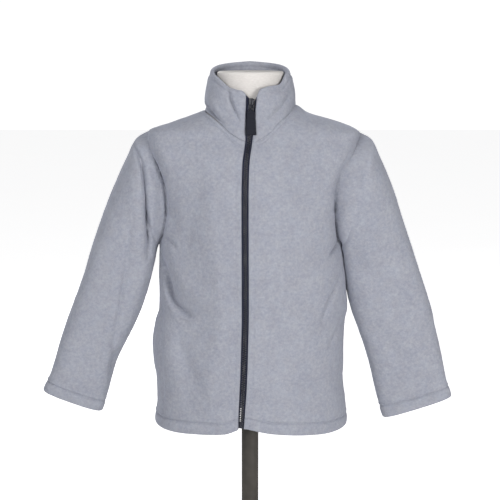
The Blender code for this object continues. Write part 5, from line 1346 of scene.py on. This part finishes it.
zip_middle = along_zip(rough_middle)
zip_up = unit(np.gradient(zip_middle, axis=0))
zip_out = along_zip(right_edge[2] + left_edge[2])
zip_out = unit(zip_out - zip_up * (zip_out * zip_up).sum(axis=1, keepdims=True))
zip_across = np.cross(zip_up, zip_out)


def shell(name, top, bottom, finish):
    """A closed thin piece between two grids of points."""
    rows, columns = top.shape[:2]
    count = rows * columns
    faces = grid_faces(rows, columns)
    faces += [face[::-1] for face in grid_faces(rows, columns, first=count)]
    border = [(0, c) for c in range(columns)] + [(r, columns - 1) for r in range(1, rows)]
    border += [(rows - 1, c) for c in range(columns - 2, -1, -1)] + [(r, 0) for r in range(rows - 2, 0, -1)]
    for here, following in zip(border, border[1:] + border[:1]):
        a = here[0] * columns + here[1]
        b = following[0] * columns + following[1]
        faces.append((b, a, a + count, b + count))
    facing = np.cross(top[0, 1] - top[0, 0], top[1, 0] - top[0, 0])
    if (facing * (top[0, 0] - bottom[0, 0])).sum() < 0:
        faces = [face[::-1] for face in faces]
    return piece_object(name, np.concatenate([top.reshape(-1, 3), bottom.reshape(-1, 3)]), faces, finish)


tape_weave = Finish("woven_zip_tape", Roughness=0.85, Specular_IOR_Level=0.2, Sheen_Weight=0.2)
rib = tape_weave.noise(0.0007, 1.0, stretch=(0.3, 0.3, 1.6))
fade = tape_weave.noise(0.02, 2.0)
tape_shade = tape_weave.ramp(0.7 * rib + 0.3 * fade, (0.35, 0.0), (0.65, 1.0))
tape_weave.feed("Base Color", tape_weave.blend(tape_shade, (0.012, 0.014, 0.028, 1), (0.024, 0.028, 0.054, 1)))
tape_weave.bump(rib, 0.6, 0.0004)

every = int(TAPE_STEP / ZIP_SAMPLE)
climbed = run[::every]
caught_from = rough_run[-2] - TAPE_CAUGHT
caught = caught_from + (climbed - caught_from) * TAPE_CAUGHT / (climbed[-1] - caught_from)
between_layers = np.clip((TAPE_COLUMNS - TAPE_SHOWN[0]) / TAPE_SHOWN[1], 0, 1)
climb_to = climbed[:, None] + np.minimum(caught - climbed, 0)[:, None] * between_layers


def held_down(grid):
    """A tape's points, those between the collar's layers no higher than its slot."""
    return np.stack([np.stack([np.interp(climb_to[:, c], climbed, grid[:, c, axis])
                               for c in range(len(TAPE_COLUMNS))], axis=1) for axis in range(3)], axis=2)


for side, name in ((RIGHT, "right"), (LEFT, "left")):
    edge_points = right_edge if side == RIGHT else left_edge
    cloth_edge = along_zip(edge_points[0])[::every]
    outward = along_zip(edge_points[2])[::every]
    across_tape = unit(along_zip(edge_points[1])[::every] - cloth_edge)
    half = np.linalg.norm(along_zip(right_edge[0]) - along_zip(left_edge[0]), axis=1)[::every] / 2
    off = TAPE_COLUMNS[None, :, None] - half[:, None, None]
    place, wide, high = TAPE_CORD
    cord = high * np.exp(-(((TAPE_COLUMNS - place) / wide) ** 2))[None, :, None]
    flat_tape = cloth_edge[:, None] + across_tape[:, None] * off
    top = held_down(flat_tape - outward[:, None] * (TAPE_DEPTH - cord))
    bottom = held_down(flat_tape - outward[:, None] * (TAPE_DEPTH + TAPE_THICK + cord / 2))
    tape = shell("zip_tape_woven_" + name, top, bottom, tape_weave)
    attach(tape, "root")
    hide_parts("zip_tape_" + name)

# ---------------------------------------------------------------------------------------------
# The teeth: two rows of navy moulded plastic, cast round the tapes' cords. Their round heads lock
# behind each other. A moulded box and a pin hold the two lower ends together.
# ---------------------------------------------------------------------------------------------
CHAIN_THICK = 0.0024
CHAIN_DEPTH = TAPE_DEPTH + TAPE_THICK / 2
BOX_LENGTH = 0.0090
BOX_THICK = 0.0042
BOX_HALF_WIDTH = 0.0029
BOX_INSET = 0.0005
TOOTH_PITCH = 0.0026
TOOTH_OUTLINE = ((-2.75, -0.62), (-2.60, -0.80), (-1.30, -0.66), (-0.45, -0.42), (0.10, -0.66), (0.60, -0.70),
                 (0.98, -0.36), (1.05, 0.00), (0.98, 0.36), (0.60, 0.70), (0.10, 0.66), (-0.45, 0.42),
                 (-1.30, 0.66), (-2.60, 0.80), (-2.75, 0.62))  # towards the other row, and up the zip
TOOTH_LAYERS = ((-1.0, 0.82), (-0.72, 1.0), (0.50, 1.0), (0.80, 0.93), (0.94, 0.78), (1.0, 0.50))  # level and size
TOOTH_TILT = 0.08
TURNED_TEETH = ((0.677, 0.009), (0.629, 0.007), (0.593, 0.014), (0.5625, 0.008), (0.523, 0.012), (0.470, 0.005),
                (0.409, 0.006), (0.3675, 0.008), (0.310, 0.005))  # heights of the chain's twists, and their reach
TURNED_ACROSS = 0.46
TURNED_UP = 0.18
SLIDER_LENGTH = 0.0130
SLIDER_CENTRE_HEIGHT = 0.7372

moulded = Finish("moulded_zip_plastic", Specular_IOR_Level=0.55)
scuff = moulded.noise(0.0012, 2.0)
moulded.feed("Base Color", moulded.blend(scuff, (0.010, 0.011, 0.019, 1), (0.022, 0.025, 0.040, 1)))
moulded.feed("Roughness", 0.18 + 0.22 * scuff)
moulded.bump(scuff, 0.15, 0.0001)


def rings_object(name, blocks, finish, looped=False):
    """A piece made of blocks, each of them rings of points joined in order and closed at the ends."""
    vertices = []
    faces = []
    for rings in blocks:
        first = len(vertices)
        count, sides = rings.shape[:2]
        vertices.extend(rings.reshape(-1, 3))
        faces += grid_faces(count, sides, True, first)
        end = first + (count - 1) * sides
        if looped:
            faces += [(end + k, end + (k + 1) % sides, first + (k + 1) % sides, first + k) for k in range(sides)]
        else:
            faces.append(list(range(first, first + sides))[::-1])
            faces.append(list(range(end, end + sides)))
    made = piece_object(name, vertices, faces, finish)
    made.data.update()
    return made


def zip_place(where):
    """Middle, across, outward and up directions of the zip at a distance along it."""
    spot = [np.array([np.interp(where, run, values[:, axis]) for axis in range(3)])
            for values in (zip_middle, zip_across, zip_out, zip_up)]
    return spot[0], unit(spot[1]), unit(spot[2]), unit(spot[3])


slider_run = float(np.interp(SLIDER_CENTRE_HEIGHT, zip_middle[:, 2], run))
first_tooth = BOX_LENGTH + TOOTH_PITCH / 2
teeth_count = int((slider_run - SLIDER_LENGTH * 0.2 - first_tooth) / TOOTH_PITCH)
outline = np.array(TOOTH_OUTLINE) / 1000
for side, name in ((RIGHT, "right"), (LEFT, "left")):
    row = []
    for tooth in range(teeth_count):
        where = first_tooth + TOOTH_PITCH * (tooth + (0.5 if side == LEFT else 0.0))
        spot, across, out_way, up_way = zip_place(where)
        spots = spot[None]
        twist = max(math.exp(-(((spot[2] - height) / reach_by) ** 2)) for height, reach_by in TURNED_TEETH)
        lean_across = TOOTH_TILT * lumps(spots * (0, 0, 1), 0.012, 3)[0] + TURNED_ACROSS * (0.25 - twist)
        lean_up = TOOTH_TILT * lumps(spots * (0, 0, 1), 0.009, 4)[0] + TURNED_UP * (0.5 - twist)
        rings = []
        for level, size in TOOTH_LAYERS:
            x = -side * (outline[:, 0] * size + (size - 1) * 0.0008)
            along_it = outline[:, 1] * size
            high = level * CHAIN_THICK / 2 + lean_across * x + lean_up * along_it
            rings.append(spot + across * x[:, None] + up_way * along_it[:, None]
                         + out_way * (high - CHAIN_DEPTH)[:, None])
        rings = np.array(rings)
        row.append(rings[:, ::-1] if side == LEFT else rings)
    teeth = rings_object("zip_teeth_row_" + name, row, moulded)
    teeth.data.set_sharp_from_angle(angle=math.radians(35))
    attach(teeth, "root")
    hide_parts("zip_chain")


def rounded_section(half_wide, half_thick, radius, steps=4):
    """Outline of a bar with rounded edges, as its side and depth places."""
    outline = []
    for x, deep, start in ((1, 1, 0), (-1, 1, 90), (-1, -1, 180), (1, -1, 270)):
        for step in range(steps + 1):
            angle = math.radians(start + 90 * step / steps)
            outline.append((x * (half_wide - radius) + radius * math.cos(angle),
                            deep * (half_thick - radius) + radius * math.sin(angle)))
    return np.array(outline)


def bar_rings(place, section, stations):
    """Rings of a section up a place's own axis; stations are (up, size across, size deep, offset out)."""
    spot, across, out_way, up_way = place
    return np.array([spot + across * section[:, :1] * wide + out_way * (section[:, 1:] * thick + out_by)
                     + up_way * up_by for up_by, wide, thick, out_by in stations])


def softened_ends(low, high, rounding, out_by, steps=5):
    """Stations of a bar from low to high whose ends are rounded."""
    stations = []
    for step in range(steps + 1):
        angle = math.pi / 2 * step / steps
        size = 1 - 0.28 * (1 - math.sin(angle))
        stations.append((low + rounding * (1 - math.cos(angle)) if step else low, size, size, out_by))
    return stations + [(low + high - up_by, wide, thick, out) for up_by, wide, thick, out in stations[::-1]]


foot_place = zip_place(0.0)
box_section = rounded_section(BOX_HALF_WIDTH, BOX_THICK / 2, 0.0008)
box_rings = bar_rings(foot_place, box_section, softened_ends(BOX_INSET, BOX_LENGTH - 0.0002, 0.0009, -CHAIN_DEPTH))
pin_place = (foot_place[0] + foot_place[1] * 0.0013,) + foot_place[1:]
pin_section = rounded_section(0.0009, 0.0009, 0.0008)
pin_rings = bar_rings(pin_place, pin_section, softened_ends(BOX_LENGTH * 0.4, BOX_LENGTH + 0.0034, 0.0005,
                                                            BOX_THICK / 2 - CHAIN_DEPTH - 0.0004))
zip_foot = rings_object("zip_box_and_pin", [box_rings, pin_rings], moulded)
zip_foot.data.set_sharp_from_angle(angle=math.radians(40))
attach(zip_foot, "root")
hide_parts("zip_box")

# ---------------------------------------------------------------------------------------------
# The slider: die-cast metal painted navy-black. Its two shoulders part the rows of teeth, its
# sides curl round them, and a small arched bridge on its face holds the pull's ring.
# ---------------------------------------------------------------------------------------------
SLIDER_PLATE = 0.0015
SLIDER_POST_HALF = 0.0014
SLIDER_FRONT_FACE = 0.0004
SLIDER_CLEAR = 0.0003
SLIDER_WIDTHS = ((-6.5, 2.6), (-6.3, 3.0), (-5.6, 3.4), (-4.0, 3.6), (-2.0, 3.7), (0.0, 3.8), (2.0, 4.1), (3.6, 4.4),
                 (4.8, 4.4), (5.7, 4.1), (6.3, 3.4), (6.5, 2.6))  # up the slider, and half its width there
SLIDER_CURL = 0.0013
BRIDGE_DROP = 0.0026
BRIDGE_RADIUS = 0.00155
BRIDGE_HALF_WIDTH = 0.0012
BRIDGE_HALF_THICK = 0.00045
RING_WIRE = 0.0012
RING_CLEAR = 0.0005
PULL_AXIS_DEPTH = SLIDER_FRONT_FACE + RING_CLEAR + RING_WIRE / 2

slider_place = zip_place(slider_run)
pull_pivot = np.array(frame["joints"][0]["pos_m"])
pull_pivot[0] = slider_place[0][0]  # the axis runs across, so the place along it is free
slider_centre = pull_pivot - slider_place[2] * PULL_AXIS_DEPTH + slider_place[3] * BRIDGE_DROP
slider_place = (slider_centre,) + slider_place[1:]

enamel = Finish("slider_enamel", Specular_IOR_Level=0.45)
wear = enamel.noise(0.0009, 2.0)
enamel.feed("Base Color", enamel.blend(wear, (0.006, 0.007, 0.012, 1), (0.020, 0.022, 0.032, 1)))
enamel.feed("Roughness", 0.24 + 0.20 * wear)
enamel.bump(wear, 0.2, 0.0001)


def slider_plate(face_depth, thick, curl):
    """Rings of a slider's plate, whose sides curl by an amount away from its face."""
    spot, across, out_way, up_way = slider_place
    rings = []
    for up_by, wide in SLIDER_WIDTHS:
        share = np.linspace(-1, 1, 11)
        drop = curl * share ** 6 + math.copysign(0.0004, curl) * share ** 2
        top = np.stack([share * wide / 1000, face_depth - drop], axis=1)
        under = np.stack([share[::-2] * wide / 1000 * 0.9, face_depth - thick - drop[::-2]], axis=1)
        section = np.concatenate([top, under])
        rings.append(spot + across * section[:, :1] + out_way * section[:, 1:] + up_way * up_by / 1000)
    return np.array(rings)


back_top = -(CHAIN_DEPTH + CHAIN_THICK / 2 + SLIDER_CLEAR)
post = bar_rings(slider_place, rounded_section(SLIDER_POST_HALF, 0.0028, 0.0005),
                 [(up_by, 1, 1, (SLIDER_FRONT_FACE + back_top) / 2) for up_by in (0.0012, 0.0058)])
spot, across, out_way, up_way = slider_place
arch = [(BRIDGE_RADIUS, -0.0004)]
arch += [(BRIDGE_RADIUS * math.cos(a), PULL_AXIS_DEPTH + BRIDGE_RADIUS * math.sin(a))
         for a in np.linspace(0, math.pi, 13)]
arch.append((-BRIDGE_RADIUS, -0.0004))
arch = np.array(arch)
arch_way = unit(np.gradient(arch, axis=0))
section = rounded_section(BRIDGE_HALF_WIDTH, BRIDGE_HALF_THICK, 0.0004)
bridge = []
for (up_by, deep_by), (way_up, way_deep) in zip(arch, arch_way):
    middle = spot + up_way * (up_by - BRIDGE_DROP) + out_way * deep_by
    aside = out_way * way_up - up_way * way_deep
    bridge.append(middle + across * section[:, :1] + aside * section[:, 1:])
slider = rings_object("zip_slider_body",
                      [slider_plate(SLIDER_FRONT_FACE, SLIDER_PLATE, SLIDER_CURL),
                       slider_plate(back_top, SLIDER_PLATE, -0.0004), post, np.array(bridge)], enamel)
slider.data.set_sharp_from_angle(angle=math.radians(45))
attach(slider, "root")
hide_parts("zip_slider")

# ---------------------------------------------------------------------------------------------
# The pull: a bent wire ring through the slider's bridge, and on it a flat moulded rubber tab with
# cross ribs for grip. Both hang straight down and swing together.
# ---------------------------------------------------------------------------------------------
RING_HALF_WIDTH = 0.0031
RING_LENGTH = 0.0085
RING_CORNER = 0.0012
TAB_LENGTH = 0.0340
TAB_TOP_HALF = 0.0055
TAB_FOOT_HALF = 0.0076
TAB_HALF_THICK = 0.0010
TAB_RIBS = 5
TAB_RIB_DEPTH = 0.00030
TAB_CORNER = 0.0016
TAB_STATIONS = 96

pull_up = unit(slider_place[3] * np.array((0.0, 1.0, 1.0)))
pull_across = np.array((1.0, 0.0, 0.0))
pull_place = (pull_pivot, pull_across, np.cross(pull_across, pull_up), pull_up)
foot = -(RING_LENGTH - RING_WIRE)
path = []
for x, z, start in ((1, -RING_CORNER, 0), (-1, -RING_CORNER, 90), (-1, foot + RING_CORNER, 180),
                    (1, foot + RING_CORNER, 270)):
    for step in range(7):
        angle = math.radians(start + 15 * step)
        path.append((x * (RING_HALF_WIDTH - RING_CORNER) + RING_CORNER * math.cos(angle),
                     z + RING_CORNER * math.sin(angle)))
path = np.array(path)
way = unit(np.roll(path, -1, axis=0) - np.roll(path, 1, axis=0))
turn = 2 * math.pi * np.arange(14) / 14
ring = []
for (x, z), (way_x, way_z) in zip(path, way):
    off = RING_WIRE / 2 * np.cos(turn)[:, None]
    out_by = RING_WIRE / 2 * np.sin(turn)[:, None]
    ring.append(pull_pivot + pull_across * (x + way_z * off) + pull_up * (z - way_x * off)
                + pull_place[2] * out_by)
ring_object = rings_object("pull_wire_ring", [np.array(ring)], enamel, looped=True)
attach(ring_object, "pull")
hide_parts("zip_pull_ring")

rubber = Finish("pull_tab_rubber", Specular_IOR_Level=0.15)
rub = rubber.noise(0.0015, 3.0)
rubber.feed("Base Color", rubber.blend(rub, (0.008, 0.009, 0.014, 1), (0.020, 0.022, 0.032, 1)))
rubber.feed("Roughness", 0.55 + 0.25 * rub)
rubber.bump(rub, 0.2, 0.0002)

tab_top = foot - RING_WIRE / 2 - 0.0003
stations = []
for station in range(TAB_STATIONS + 1):
    share = station / TAB_STATIONS
    down = TAB_LENGTH * (1 - math.cos(math.pi * share)) / 2
    half = TAB_TOP_HALF + (TAB_FOOT_HALF - TAB_TOP_HALF) * down / TAB_LENGTH
    near_end = min(down, TAB_LENGTH - down)
    if near_end < TAB_CORNER:
        half -= TAB_CORNER - math.sqrt(TAB_CORNER ** 2 - (TAB_CORNER - near_end) ** 2)
    edge_share = min(1.0, 0.45 + 0.55 * math.sqrt(near_end / 0.0006)) if near_end < 0.0006 else 1.0
    ribbed = 0.5 - 0.5 * math.cos(2 * math.pi * TAB_RIBS * down / TAB_LENGTH)
    thick = TAB_HALF_THICK - TAB_RIB_DEPTH * ribbed ** 4
    section = rounded_section(half, thick * edge_share, 0.55 * thick * edge_share)
    spot, across, out_way, up_way = pull_place
    stations.append(spot + across * section[:, :1] + out_way * section[:, 1:] + up_way * (tab_top - down))
lug = bar_rings(pull_place, rounded_section(0.0019, 0.00105, 0.0007),
                softened_ends(tab_top - 0.0030, foot + RING_WIRE / 2 + 0.0007, 0.0006, 0.0))
tab = rings_object("pull_ribbed_tab", [np.array(stations)[:, ::-1], lug], rubber)
tab.data.set_sharp_from_angle(angle=math.radians(55))
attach(tab, "pull")
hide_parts("zip_pull_tab")
